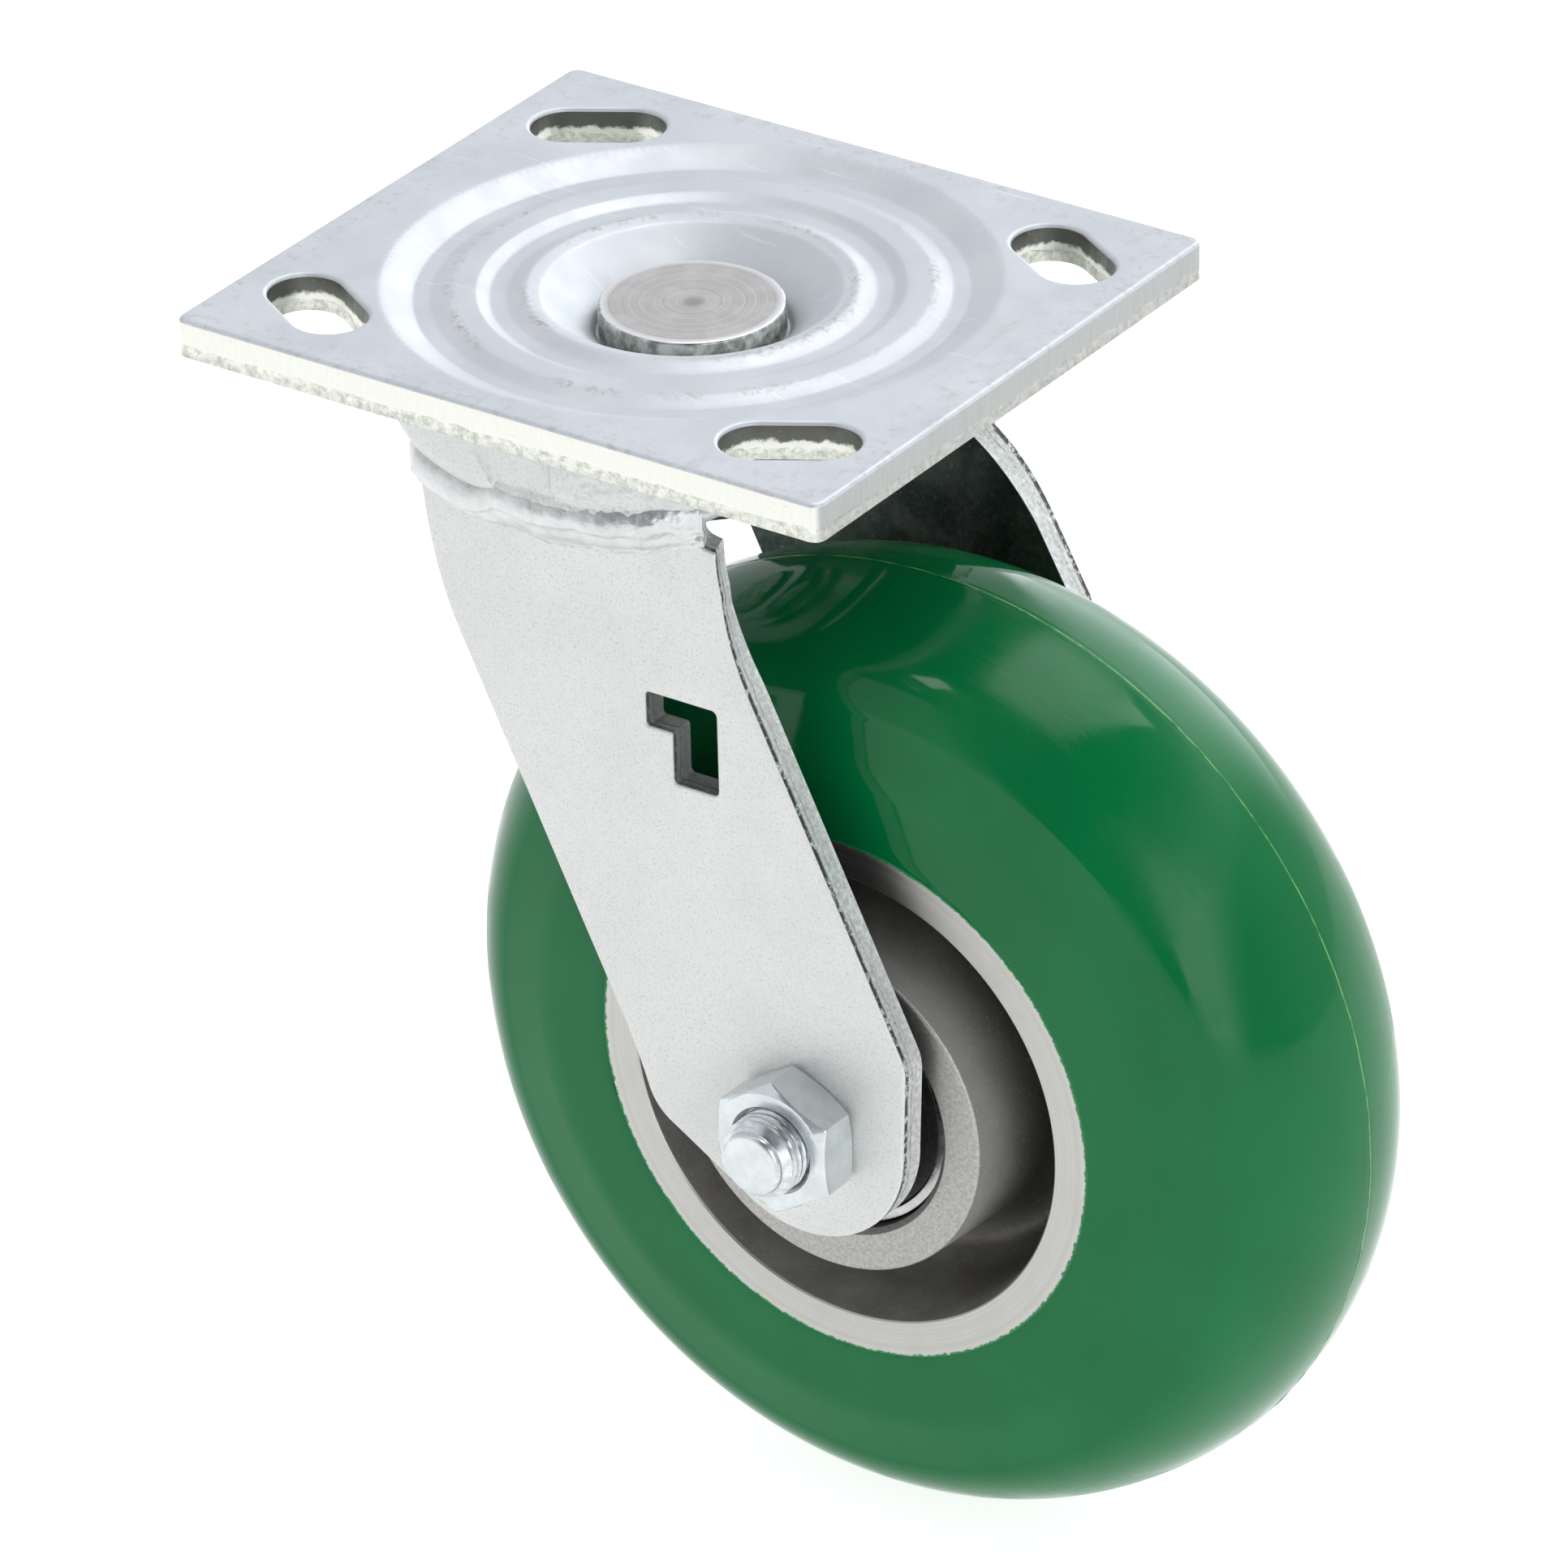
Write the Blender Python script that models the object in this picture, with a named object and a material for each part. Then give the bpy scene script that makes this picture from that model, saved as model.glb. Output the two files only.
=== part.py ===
"""Swivel plate caster: a 6 inch wheel in a welded fork that turns under a four-slot top plate.

Frame: metres, +Z up. The origin is on the swivel axis, in the top face of the plate. +X points from the
swivel axis to the wheel, so the caster rolls towards -X. The axle lies along Y. "left" is -Y, where the axle
nut is, and "right" is +Y, where the head of the axle bolt is.
"""

import math

import bmesh
import bpy
from mathutils import Matrix, Vector

MM = 0.001

# Clearance between pieces that touch on the real caster.
GAP = 0.3

# Top plate, millimetres.
PLATE_LENGTH = 114.3
PLATE_WIDTH = 101.6
PLATE_THICKNESS = 6.2
PLATE_CORNER = 2.4
SLOT_WIDTH = 11.5
SLOT_OUTER = (46.04, 33.34)
SLOT_INNER = (38.10, 38.10)

# Swivel bearing.
PIN_RADIUS = 8.0
PIN_HEAD_RADIUS = 14.0
PIN_HEAD_TOP = -3.8
DISH_FLOOR = -8.5
UPPER_PITCH = 33.8
UPPER_BALL = 3.97
UPPER_BALL_Z = -11.1
UPPER_COUNT = 26
LOWER_PITCH = 20.2
LOWER_BALL = 3.18
LOWER_BALL_Z = -22.4
LOWER_COUNT = 18

# Fork.
BASE_RADIUS = 45.0
BASE_TOP = -9.3
BASE_BOTTOM = -20.5
BASE_ROLL = 4.7
BASE_BORE = 21.5
LEG_INNER = 31.5
LEG_THICKNESS = 4.8
LEG_OUTER = LEG_INNER + LEG_THICKNESS
LEG_TOP = BASE_BOTTOM - GAP
BRAKE_SLOT = [(15.3, -48.2), (15.3, -53.9), (20.0, -53.9), (20.0, -62.3), (28.0, -62.3), (28.0, -48.2)]
WELD_HALF_LENGTH = 24.0

# Wheel and axle.
AXLE_X = 41.3
AXLE_Z = -114.0
AXLE_RADIUS = 6.35
LEG_END_RADIUS = 18.1
WHEEL_RADIUS = 76.5
WHEEL_HALF_WIDTH = 25.4
HUB_HALF_LENGTH = 29.5
HUB_RADIUS = 27.3
RIM_OUTER = 43.2
RIM_INNER = 37.7
HEX_FLATS = 19.05
NUT_HEIGHT = 7.8
BOLT_END = -49.6

# Wheel bearings: 17 x 40 x 12 mm, two rubber seals each.
BEARING_CENTRE = 21.2
BEARING_HALF = 6.0
BEARING_OUTER = 20.0
BEARING_BORE = 8.8
BUSHING_RADIUS = 8.5
BEARING_PITCH = 14.25
BEARING_BALL = 3.37
BEARING_COUNT = 8

# Principled BSDF values: colour, metallic, roughness.
FINISHES = {
    "zinc_plate": ((0.66, 0.68, 0.74), 1.0, 0.36),
    "zinc_leg": ((0.72, 0.73, 0.72), 1.0, 0.48),
    "zinc_bright": ((0.74, 0.76, 0.79), 1.0, 0.24),
    "pin_steel": ((0.46, 0.44, 0.42), 1.0, 0.42),
    "race_steel": ((0.52, 0.52, 0.53), 1.0, 0.34),
    "ball_steel": ((0.62, 0.62, 0.64), 1.0, 0.14),
    "weld_metal": ((0.66, 0.68, 0.68), 1.0, 0.50),
    "aluminium": ((0.62, 0.60, 0.57), 1.0, 0.42),
    "green_urethane": ((0.010, 0.125, 0.045), 0.0, 0.22),
    "black_rubber": ((0.012, 0.012, 0.013), 0.0, 0.55),
}


def clear_scene():
    for obj in list(bpy.data.objects):
        bpy.data.objects.remove(obj)


def finish_material(name, finish):
    """A material of its own for one sub-part, with the values of a shared finish."""
    colour, metallic, roughness = FINISHES[finish]
    material = bpy.data.materials.new(name + "_" + finish)
    material.use_nodes = True
    shader = material.node_tree.nodes["Principled BSDF"]
    shader.inputs["Base Color"].default_value = (*colour, 1.0)
    shader.inputs["Metallic"].default_value = metallic
    shader.inputs["Roughness"].default_value = roughness
    material.diffuse_color = (*colour, 1.0)
    return material


def add_object(name, bm, finish=None, place=None, smooth=True):
    """Turns a bmesh in millimetres into an object in metres. Without a finish it is a cutter."""
    bmesh.ops.scale(bm, vec=(MM, MM, MM), verts=bm.verts)
    bmesh.ops.recalc_face_normals(bm, faces=bm.faces)
    mesh = bpy.data.meshes.new(name)
    bm.to_mesh(mesh)
    bm.free()
    obj = bpy.data.objects.new(name, mesh)
    bpy.context.scene.collection.objects.link(obj)
    if place is not None:
        obj.matrix_world = place
    if finish is None:
        obj.hide_render = True
        obj.display_type = "WIRE"
        return obj
    mesh.materials.append(finish_material(name, finish))
    if smooth:
        mesh.shade_smooth()
        mesh.set_sharp_from_angle(angle=math.radians(32))
    return obj


def at(x, y, z):
    return Matrix.Translation(Vector((x, y, z)) * MM)


# A turned piece is made about Z. This turns its Z axis to +Y, so it spins about the axle.
ALONG_Y = Matrix.Rotation(math.radians(-90), 4, "X")
AXLE = at(AXLE_X, 0, AXLE_Z) @ ALONG_Y


def arc(centre, radius, start, end, steps):
    """Points on an arc. Angles in degrees from +r towards +z."""
    points = []
    for step in range(steps + 1):
        angle = math.radians(start + (end - start) * step / steps)
        points.append((centre[0] + radius * math.cos(angle), centre[1] + radius * math.sin(angle)))
    return points


def bezier(start, control, end, steps):
    """Points of a quadratic curve, without its first point."""
    points = []
    for step in range(1, steps + 1):
        t = step / steps
        a, b, c = (1 - t) ** 2, 2 * t * (1 - t), t * t
        points.append(tuple(a * start[k] + b * control[k] + c * end[k] for k in (0, 1)))
    return points


def eased(stations, steps):
    """A profile that is level at each station and eases between them, as pressed metal does."""
    points = [stations[0]]
    for (r0, z0), (r1, z1) in zip(stations, stations[1:]):
        count = 1 if z0 == z1 else steps
        for step in range(1, count + 1):
            t = step / count
            ease = (1 - math.cos(math.pi * t)) / 2
            points.append((r0 + (r1 - r0) * t, z0 + (z1 - z0) * ease))
    return points


def cylinder_profile(radius, low, high):
    """Profile of a plain cylinder that closes on the axis."""
    return [(0, low), (radius, low), (radius, high), (0, high)]


def turned_bmesh(profile, segments, closed):
    """Spins a profile of (r, z) points about Z. A profile that isn't closed starts and ends on the axis."""
    bm = bmesh.new()
    verts = [bm.verts.new((r, 0, z)) for r, z in profile]
    edges = [bm.edges.new(pair) for pair in zip(verts, verts[1:])]
    if closed:
        edges.append(bm.edges.new((verts[-1], verts[0])))
    bmesh.ops.spin(
        bm,
        geom=verts + edges,
        cent=(0, 0, 0),
        axis=(0, 0, 1),
        angle=2 * math.pi,
        steps=segments,
        use_merge=True,
    )
    bmesh.ops.remove_doubles(bm, verts=bm.verts, dist=0.0005)
    return bm


def turned(name, profile, segments, finish=None, place=None, closed=True):
    return add_object(name, turned_bmesh(profile, segments, closed), finish, place)


def prism_bmesh(outline, low, high):
    """Extrudes an outline in the XY plane from z = low to z = high."""
    bm = bmesh.new()
    face = bm.faces.new([bm.verts.new((x, y, low)) for x, y in outline])
    made = bmesh.ops.extrude_face_region(bm, geom=[face])
    top = [item for item in made["geom"] if isinstance(item, bmesh.types.BMVert)]
    bmesh.ops.translate(bm, vec=(0, 0, high - low), verts=top)
    return bm


def hexagon(flats, turn=0.0):
    """A regular hexagon by its distance across flats."""
    radius = flats / math.sqrt(3)
    angles = [math.radians(turn + 60 * side) for side in range(6)]
    return [(radius * math.cos(angle), radius * math.sin(angle)) for angle in angles]


def cut(obj, cutter, operation="DIFFERENCE"):
    modifier = obj.modifiers.new(cutter.name, "BOOLEAN")
    modifier.operation = operation
    modifier.object = cutter
    return modifier


def rounded_rectangle(length, width, corner, steps):
    outline = []
    for quarter, (sx, sy) in enumerate([(1, 1), (-1, 1), (-1, -1), (1, -1)]):
        centre = (sx * (length / 2 - corner), sy * (width / 2 - corner))
        outline += arc(centre, corner, 90 * quarter, 90 * quarter + 90, steps)
    return outline


def slot_outline(start, end, width, steps):
    """A stadium from one hole centre to the other."""
    heading = math.degrees(math.atan2(end[1] - start[1], end[0] - start[0]))
    outline = arc(end, width / 2, heading - 90, heading + 90, steps)
    return outline + arc(start, width / 2, heading + 90, heading + 270, steps)


def make_top_plate():
    """Pressed plate: two ring-shaped valleys and a dish above, the ball groove and a boss below."""
    outline = rounded_rectangle(PLATE_LENGTH, PLATE_WIDTH, PLATE_CORNER, 2)
    plate = add_object("top_plate", prism_bmesh(outline, -PLATE_THICKNESS, 0), "zinc_plate")

    groove = arc((UPPER_PITCH, UPPER_BALL_Z), UPPER_BALL + GAP, 145.8, 34.2, 4)
    under = eased([(17.0, DISH_FLOOR - PLATE_THICKNESS), (26.5, -8.7)], 2)
    under += groove
    under += eased([(41.0, -8.7), (46.8, 0.05 - PLATE_THICKNESS)], 2)
    boss = [(0, DISH_FLOOR - PLATE_THICKNESS)] + under + [(46.8, -3.0), (0, -3.0)]
    cut(plate, turned("plate_pressing_below", boss, 40, closed=False), "UNION")

    stations = [(15.0, DISH_FLOOR), (23.3, -1.1), (28.7, -2.5), (31.8, -1.1)]
    stations += [(35.8, -1.1), (39.9, -2.5), (46.8, 0.05)]
    dish = [(0, DISH_FLOOR)] + eased(stations, 2) + [(46.8, 3.0), (0, 3.0)]
    cut(plate, turned("plate_pressing_above", dish, 40, closed=False))

    bore = turned("plate_bore", cylinder_profile(PIN_RADIUS + GAP, -20.0, 5.0), 28, closed=False)
    cut(plate, bore)
    for sx in (-1, 1):
        for sy in (-1, 1):
            start = (sx * SLOT_OUTER[0], sy * SLOT_OUTER[1])
            end = (sx * SLOT_INNER[0], sy * SLOT_INNER[1])
            name = "plate_slot_{}_{}".format("front" if sx < 0 else "rear", "left" if sy < 0 else "right")
            cutter = prism_bmesh(slot_outline(start, end, SLOT_WIDTH, 6), -10.0, 4.0)
            cut(plate, add_object(name, cutter))


def make_kingpin():
    profile = [(0, PIN_HEAD_TOP), (PIN_HEAD_RADIUS - 0.7, PIN_HEAD_TOP)]
    profile += [(PIN_HEAD_RADIUS, PIN_HEAD_TOP - 0.6), (PIN_HEAD_RADIUS, DISH_FLOOR + GAP)]
    profile += [(PIN_RADIUS, DISH_FLOOR + GAP), (PIN_RADIUS, -40.0), (PIN_RADIUS - 1.0, -41.0), (0, -41.0)]
    turned("kingpin", profile, 32, "pin_steel", closed=False)


def make_lower_race():
    """Cup under the yoke base, with the washer and the nut that hold it on the kingpin."""
    bore = PIN_RADIUS + GAP
    top = DISH_FLOOR - PLATE_THICKNESS - GAP
    race = arc((LOWER_PITCH, LOWER_BALL_Z), LOWER_BALL + GAP, 160, 300, 4)
    profile = [(bore, top), (14.0, top), (14.0, -19.6), (16.2, -20.4)] + race
    profile += [(25.4, -24.6), (25.4, -26.6), (23.6, -28.2), (bore, -28.2)]
    turned("lower_race_cup", profile, 32, "race_steel")

    washer = [(bore, -28.5), (15.5, -28.5), (15.5, -30.5), (bore, -30.5)]
    turned("kingpin_washer", washer, 32, "zinc_bright")
    make_nut("kingpin_nut", 24.0, bore, -39.0, -30.8)


def make_nut(name, flats, bore, low, high, place=None, turn=0.0):
    """Hexagon nut with its corners chamfered at both ends."""
    corner = flats / math.sqrt(3)
    nut = add_object(name, prism_bmesh(hexagon(flats, turn), low, high), "zinc_bright", place)
    drop = (corner - flats / 2) * 0.5
    rim = corner + 0.4
    profile = [(0, low - 1), (flats / 2 - 0.8, low - 1), (flats / 2 - 0.8, low), (rim, low + drop + 0.3)]
    profile += [(rim, high - drop - 0.3), (flats / 2 - 0.8, high), (flats / 2 - 0.8, high + 1), (0, high + 1)]
    cut(nut, turned(name + "_chamfer", profile, 24, place=place, closed=False), "INTERSECT")
    hole = cylinder_profile(bore, low - 3, high + 3)
    cut(nut, turned(name + "_bore", hole, 28, place=place, closed=False))


def make_ball_row(name, pitch, ball, count, finish, place, web=0.45):
    """A row of balls on a thin wire ring: one tube whose radius swells to each ball in turn."""
    stations = (-0.92, 0.0, 0.92)
    sides = 6
    bm = bmesh.new()
    rings = []
    for index in range(count):
        for share in stations:
            angle = 2 * math.pi * index / count + share * ball / pitch
            radius = max(web, ball * math.sqrt(1 - share * share))
            ring = []
            for side in range(sides):
                around = 2 * math.pi * (side + 0.5) / sides
                r = pitch + radius * math.cos(around)
                z = radius * math.sin(around)
                ring.append(bm.verts.new((r * math.cos(angle), r * math.sin(angle), z)))
            rings.append(ring)
    for ring, following in zip(rings, rings[1:] + rings[:1]):
        for side in range(sides):
            after = (side + 1) % sides
            bm.faces.new((ring[side], ring[after], following[after], following[side]))
    return add_object(name, bm, finish, place)


def make_ball_rows():
    make_ball_row("upper_ball_row", UPPER_PITCH, UPPER_BALL, UPPER_COUNT, "ball_steel", at(0, 0, UPPER_BALL_Z))
    make_ball_row("lower_ball_row", LOWER_PITCH, LOWER_BALL, LOWER_COUNT, "ball_steel", at(0, 0, LOWER_BALL_Z))


def make_yoke_base():
    """Turned ring with the lower half of the upper race above and the lower race below."""
    shelf = -12.9
    upper = arc((UPPER_PITCH, UPPER_BALL_Z), UPPER_BALL + GAP, 205.0, 335.0, 4)
    roll = arc((BASE_RADIUS - BASE_ROLL, BASE_BOTTOM + BASE_ROLL), BASE_ROLL, 0, -90, 3)
    lower = arc((LOWER_PITCH, LOWER_BALL_Z), LOWER_BALL + GAP, 33.1, 68.0, 2)
    profile = [(BASE_BORE + 0.5, shelf)] + upper
    profile += [(41.6, shelf), (42.3, shelf + 0.7), (42.3, BASE_TOP - 0.5), (42.8, BASE_TOP)]
    profile += [(BASE_RADIUS - 0.6, BASE_TOP), (BASE_RADIUS, BASE_TOP - 0.6)]
    profile += roll + lower + [(BASE_BORE, shelf - 0.5)]
    base = turned("yoke_base", profile, 40, "zinc_leg")
    for sy, side in ((-1, "left"), (1, "right")):
        low, high = sorted((sy * (BASE_RADIUS - 0.9), sy * (BASE_RADIUS + 3.0)))
        outline = [(-4.9, low), (5.2, low), (5.2, high), (-4.9, high)]
        cut(base, add_object("yoke_flat_" + side, prism_bmesh(outline, -15.9, -5.0)))


def leg_outline(side):
    """Leg seen along Y as (x, z): swept back from the yoke base to the axle. The right leg is broader below its top."""
    top_rear = (28.4, LEG_TOP)
    top_front = (-24.3, LEG_TOP)
    axle = (AXLE_X, AXLE_Z)
    outline = [top_front, top_rear]
    if side == "left":
        outline += bezier(top_rear, (28.9, -35.6), (33.6, -44.2), 5)
    else:
        shoulder = (29.2, -31.8)
        outline.append(shoulder)
        outline += bezier(shoulder, (35.3, -36.0), (39.5, -44.2), 4)
        outline.append((46.0, -56.0))
    outline += bezier((59.3, -97.0), (60.2, -98.6), (60.1, -100.4), 2)
    outline += arc(axle, LEG_END_RADIUS, 0, -122, 11)
    outline += bezier((17.6, -120.5), (14.9, -118.8), (13.9, -115.8), 3)
    outline.append((9.7, -105.4))
    outline += bezier((-17.8, -48.4), (-22.6, -38.9), top_front, 5)[:-1]
    return outline


def make_legs():
    for sy, side in ((-1, "left"), (1, "right")):
        # The outline is drawn in XY and turned so that its y becomes the world's z.
        low, high = sorted((sy * LEG_INNER, sy * LEG_OUTER))
        place = Matrix.Rotation(math.radians(90), 4, "X")
        leg = add_object("fork_leg_" + side, prism_bmesh(leg_outline(side), -high, -low), "zinc_leg", place)
        if side == "left":
            slot = prism_bmesh(BRAKE_SLOT, -high - 3, -low + 3)
            cut(leg, add_object("brake_slot", slot, place=place))
        hole = turned(
            "axle_hole_" + side,
            cylinder_profile(AXLE_RADIUS + GAP, low - 3, high + 3),
            28,
            place=AXLE,
            closed=False,
        )
        cut(leg, hole)


def weld_top(radius):
    """Height of the weld's upper side at a distance from the swivel axis: it follows the rolled base edge."""
    past = max(0.0, radius - (BASE_RADIUS - BASE_ROLL))
    return BASE_BOTTOM + BASE_ROLL - math.sqrt((BASE_ROLL + GAP) ** 2 - past * past)


def make_welds():
    """Convex weld outside each leg, under the edge of the yoke base. It is widest at the middle."""
    face = LEG_OUTER + GAP
    edge = BASE_RADIUS - 0.8
    steps = 12
    for sy, side in ((-1, "left"), (1, "right")):
        bm = bmesh.new()
        sections = []
        for step in range(steps + 1):
            x = -WELD_HALF_LENGTH * math.cos(math.pi * step / steps)
            out = math.sqrt(edge**2 - x * x)
            toe = -17.3 - 11.2 * math.sqrt(1 - (x / 26.0) ** 2)
            section = []
            for share in (0.0, 0.5, 0.75, 1.0):
                y = face + (out - face) * share
                section.append((y, weld_top(math.hypot(x, y))))
            for share in (0.33, 0.67):
                bulge = 0.16 * (out - face)
                z = section[3][1] + (toe - section[3][1]) * share
                section.append((out + (face - out) * share + bulge, z - bulge))
            section.append((face, toe))
            sections.append([bm.verts.new((x, sy * y, z)) for y, z in section])
        for section, following in zip(sections, sections[1:]):
            for index in range(len(section)):
                after = (index + 1) % len(section)
                bm.faces.new((section[index], section[after], following[after], following[index]))
        bm.faces.new(sections[0])
        bm.faces.new(sections[-1])
        add_object("leg_weld_" + side, bm, "weld_metal")


def make_axle():
    """Hexagon bolt through both legs, its nut on the left, and the bushing that it clamps."""
    head_face = LEG_OUTER + GAP
    bolt = add_object(
        "axle_bolt",
        prism_bmesh(hexagon(HEX_FLATS, 12.0), head_face, head_face + 7.9),
        "zinc_bright",
        AXLE,
    )
    shank = [(0, head_face + 2), (AXLE_RADIUS, head_face + 2), (AXLE_RADIUS, BOLT_END + 1.6)]
    shank += [(AXLE_RADIUS - 1.1, BOLT_END + 0.4), (AXLE_RADIUS - 2.2, BOLT_END), (0, BOLT_END)]
    cut(bolt, turned("axle_shank", shank, 28, place=AXLE, closed=False), "UNION")

    nut_face = -LEG_OUTER - GAP
    bore = AXLE_RADIUS + GAP
    make_nut("axle_nut", HEX_FLATS, bore, nut_face - NUT_HEIGHT, nut_face, AXLE, 29.0)

    end = LEG_INNER - GAP
    bushing = [(bore, -end), (BUSHING_RADIUS, -end), (BUSHING_RADIUS, end), (bore, end)]
    turned("spanner_bushing", bushing, 28, "race_steel", AXLE)


def make_wheel():
    half = WHEEL_HALF_WIDTH
    seat = BEARING_OUTER + GAP
    step_y = BEARING_CENTRE - BEARING_HALF - GAP
    web = 4.5
    right = [(17.0, step_y), (seat, step_y), (seat, HUB_HALF_LENGTH - 0.5), (seat + 0.5, HUB_HALF_LENGTH)]
    right += [(HUB_RADIUS - 0.6, HUB_HALF_LENGTH), (HUB_RADIUS, HUB_HALF_LENGTH - 0.6)]
    right += [(HUB_RADIUS + 1.0, 9.0), (HUB_RADIUS + 2.2, 5.6), (HUB_RADIUS + 4.4, web)]
    right += [(RIM_INNER - 5.0, web + 0.3), (RIM_INNER - 2.4, 7.0), (RIM_INNER - 1.5, 11.0)]
    right += [(RIM_INNER, half), (RIM_OUTER, half)]
    left = [(r, -y) for r, y in reversed(right)]
    turned("wheel_core", right + left, 40, "aluminium", AXLE)

    bond = RIM_OUTER + GAP
    shoulder = 63.0
    shoulder_y = 22.7
    power = 2 / 1.8
    crown_steps = 10
    crown = []
    for step in range(1, crown_steps):
        angle = math.radians(90 - 180 * step / crown_steps)
        y = shoulder_y * math.copysign(abs(math.sin(angle)) ** power, angle)
        crown.append((shoulder + (WHEEL_RADIUS - shoulder) * math.cos(angle) ** power, y))
    profile = [(bond, half - 0.1), (55.0, half - 0.9), (shoulder, shoulder_y)]
    profile += crown
    profile += [(shoulder, -shoulder_y), (55.0, 0.9 - half), (bond, 0.1 - half)]
    turned("wheel_tread", profile, 54, "green_urethane", AXLE)


def make_bearing(side, centre):
    """Deep-groove ball bearing: two rings, a row of balls and two seals."""
    name = "bearing_" + side + "_"
    place = AXLE @ at(0, 0, centre)
    half = BEARING_HALF
    land_outer = 16.6
    land_inner = 11.9
    groove = BEARING_BALL + GAP
    outer = [(land_outer, -half), (BEARING_OUTER, -half), (BEARING_OUTER, half), (land_outer, half)]
    reach = math.degrees(math.acos((land_outer - BEARING_PITCH) / groove))
    outer += arc((BEARING_PITCH, 0), groove, reach, -reach, 3)
    turned(name + "outer_ring", outer, 32, "race_steel", place)
    inner = [(land_inner, half), (BEARING_BORE, half), (BEARING_BORE, -half), (land_inner, -half)]
    reach = math.degrees(math.acos((BEARING_PITCH - land_inner) / groove))
    inner += arc((BEARING_PITCH, 0), groove, 180 + reach, 180 - reach, 3)
    turned(name + "inner_ring", inner, 28, "race_steel", place)
    make_ball_row(name + "balls", BEARING_PITCH, BEARING_BALL, BEARING_COUNT, "ball_steel", place, web=0.8)
    outward = math.copysign(1, centre)
    for seal, face in (("seal_outside", outward), ("seal_inside", -outward)):
        low, high = sorted((face * 4.7, face * 5.6))
        ring = [(land_inner + GAP, low), (land_outer - GAP, low), (land_outer - GAP, high)]
        ring += [(land_inner + GAP, high)]
        turned(name + seal, ring, 28, "black_rubber", place)


def main():
    clear_scene()
    make_top_plate()
    make_kingpin()
    make_lower_race()
    make_ball_rows()
    make_yoke_base()
    make_legs()
    make_welds()
    make_axle()
    make_wheel()
    make_bearing("left", -BEARING_CENTRE)
    make_bearing("right", BEARING_CENTRE)


main()
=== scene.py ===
"""The looks of the swivel plate caster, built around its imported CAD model.

Lengths here are in millimetres in the CAD frame and are scaled to metres when a mesh is made. The origin
is on the swivel axis in the top face of the plate, +X points to the wheel, and the axle lies along Y.
"""

import math

import bmesh
import bpy
import numpy as np
from mathutils import Matrix, Vector, noise
from mathutils.geometry import delaunay_2d_cdt


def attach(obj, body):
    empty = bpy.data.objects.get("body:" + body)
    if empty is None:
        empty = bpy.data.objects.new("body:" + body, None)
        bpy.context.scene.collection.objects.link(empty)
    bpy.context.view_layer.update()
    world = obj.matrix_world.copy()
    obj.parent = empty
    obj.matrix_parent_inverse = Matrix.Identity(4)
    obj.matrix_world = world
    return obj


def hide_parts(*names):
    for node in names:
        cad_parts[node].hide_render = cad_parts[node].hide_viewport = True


MM = 0.001

PLATE_LENGTH = 114.3
PLATE_WIDTH = 101.6
PLATE_THICKNESS = 6.2
SLOT_WIDTH = 11.5
SLOT_OUTER = (46.04, 33.34)
SLOT_INNER = (38.10, 38.10)
PIN_RADIUS = 8.0
PIN_HEAD_RADIUS = 14.0
PIN_HEAD_TOP = -3.8
DISH_FLOOR = -8.5
BASE_RADIUS = 45.0
LEG_INNER = 31.5
LEG_OUTER = 36.3
AXLE = (41.3, 0.0, -114.0)
AXLE_RADIUS = 6.35
WHEEL_RADIUS = 76.5
HUB_FACE = 29.5
RIM_OUTER = 43.2
HEX_FLATS = 19.05
HEX_CHAMFER = 27
BOLT_END = -49.6
THREAD_PITCH = 1.27

# The camera, the light boxes and the floor are placed in metres and degrees.
CAMERA_TARGET = (0.0195, -0.0074, -0.0759)
CAMERA_AZIMUTH = 35.14
CAMERA_ELEVATION = 28.73
CAMERA_ROLL = -1.49
CAMERA_DISTANCE = 1.695
CAMERA_LENS = 260.9

WALL_SIDE = (0.40, 0.42, 0.44)
WALL_LEFT = (0.85, 0.87, 0.90)
WALL_REAR = (0.80, 0.825, 0.865)
WALL_GLOW = (2.6, 2.7, 2.8)
CEILING = (0.13, 0.135, 0.145)
RIGHT_WALL = (0.81, 0.46, -0.35)
FLOOR_HEIGHT = -0.1907
FLOOR_REACH = 6.0


# ---------------------------------------------------------------- mesh helpers


def jitter(x, y, z, scale, octaves=1):
    """Seeded smooth noise from -1 to 1, whose features are about `scale` mm across."""
    total, size, weight = 0.0, 1.0 / scale, 1.0
    for _ in range(octaves):
        total += weight * noise.noise(Vector((x, y, z)) * size)
        size *= 2.1
        weight *= 0.5
    return total


def mesh_object(name, verts, faces, materials, zones=None, origin=(0, 0, 0), crease=34):
    """An object from points in millimetres. zones gives a material index for each face."""
    mesh = bpy.data.meshes.new(name)
    points = (np.asarray(verts, float) - np.asarray(origin, float)) * MM
    mesh.from_pydata(points.tolist(), [], faces)
    for material in materials:
        mesh.materials.append(material)
    if zones is not None:
        mesh.polygons.foreach_set("material_index", np.asarray(zones, np.int32))
    bm = bmesh.new()
    bm.from_mesh(mesh)
    bmesh.ops.recalc_face_normals(bm, faces=bm.faces)
    bm.to_mesh(mesh)
    bm.free()
    mesh.shade_smooth()
    mesh.set_sharp_from_angle(angle=math.radians(crease))
    obj = bpy.data.objects.new(name, mesh)
    bpy.context.scene.collection.objects.link(obj)
    obj.location = Vector(origin) * MM
    weighted = obj.modifiers.new("weighted", "WEIGHTED_NORMAL")
    weighted.keep_sharp = True
    weighted.weight = 60
    return obj


def polar(radius, angle):
    return radius * math.cos(angle), radius * math.sin(angle)


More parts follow.
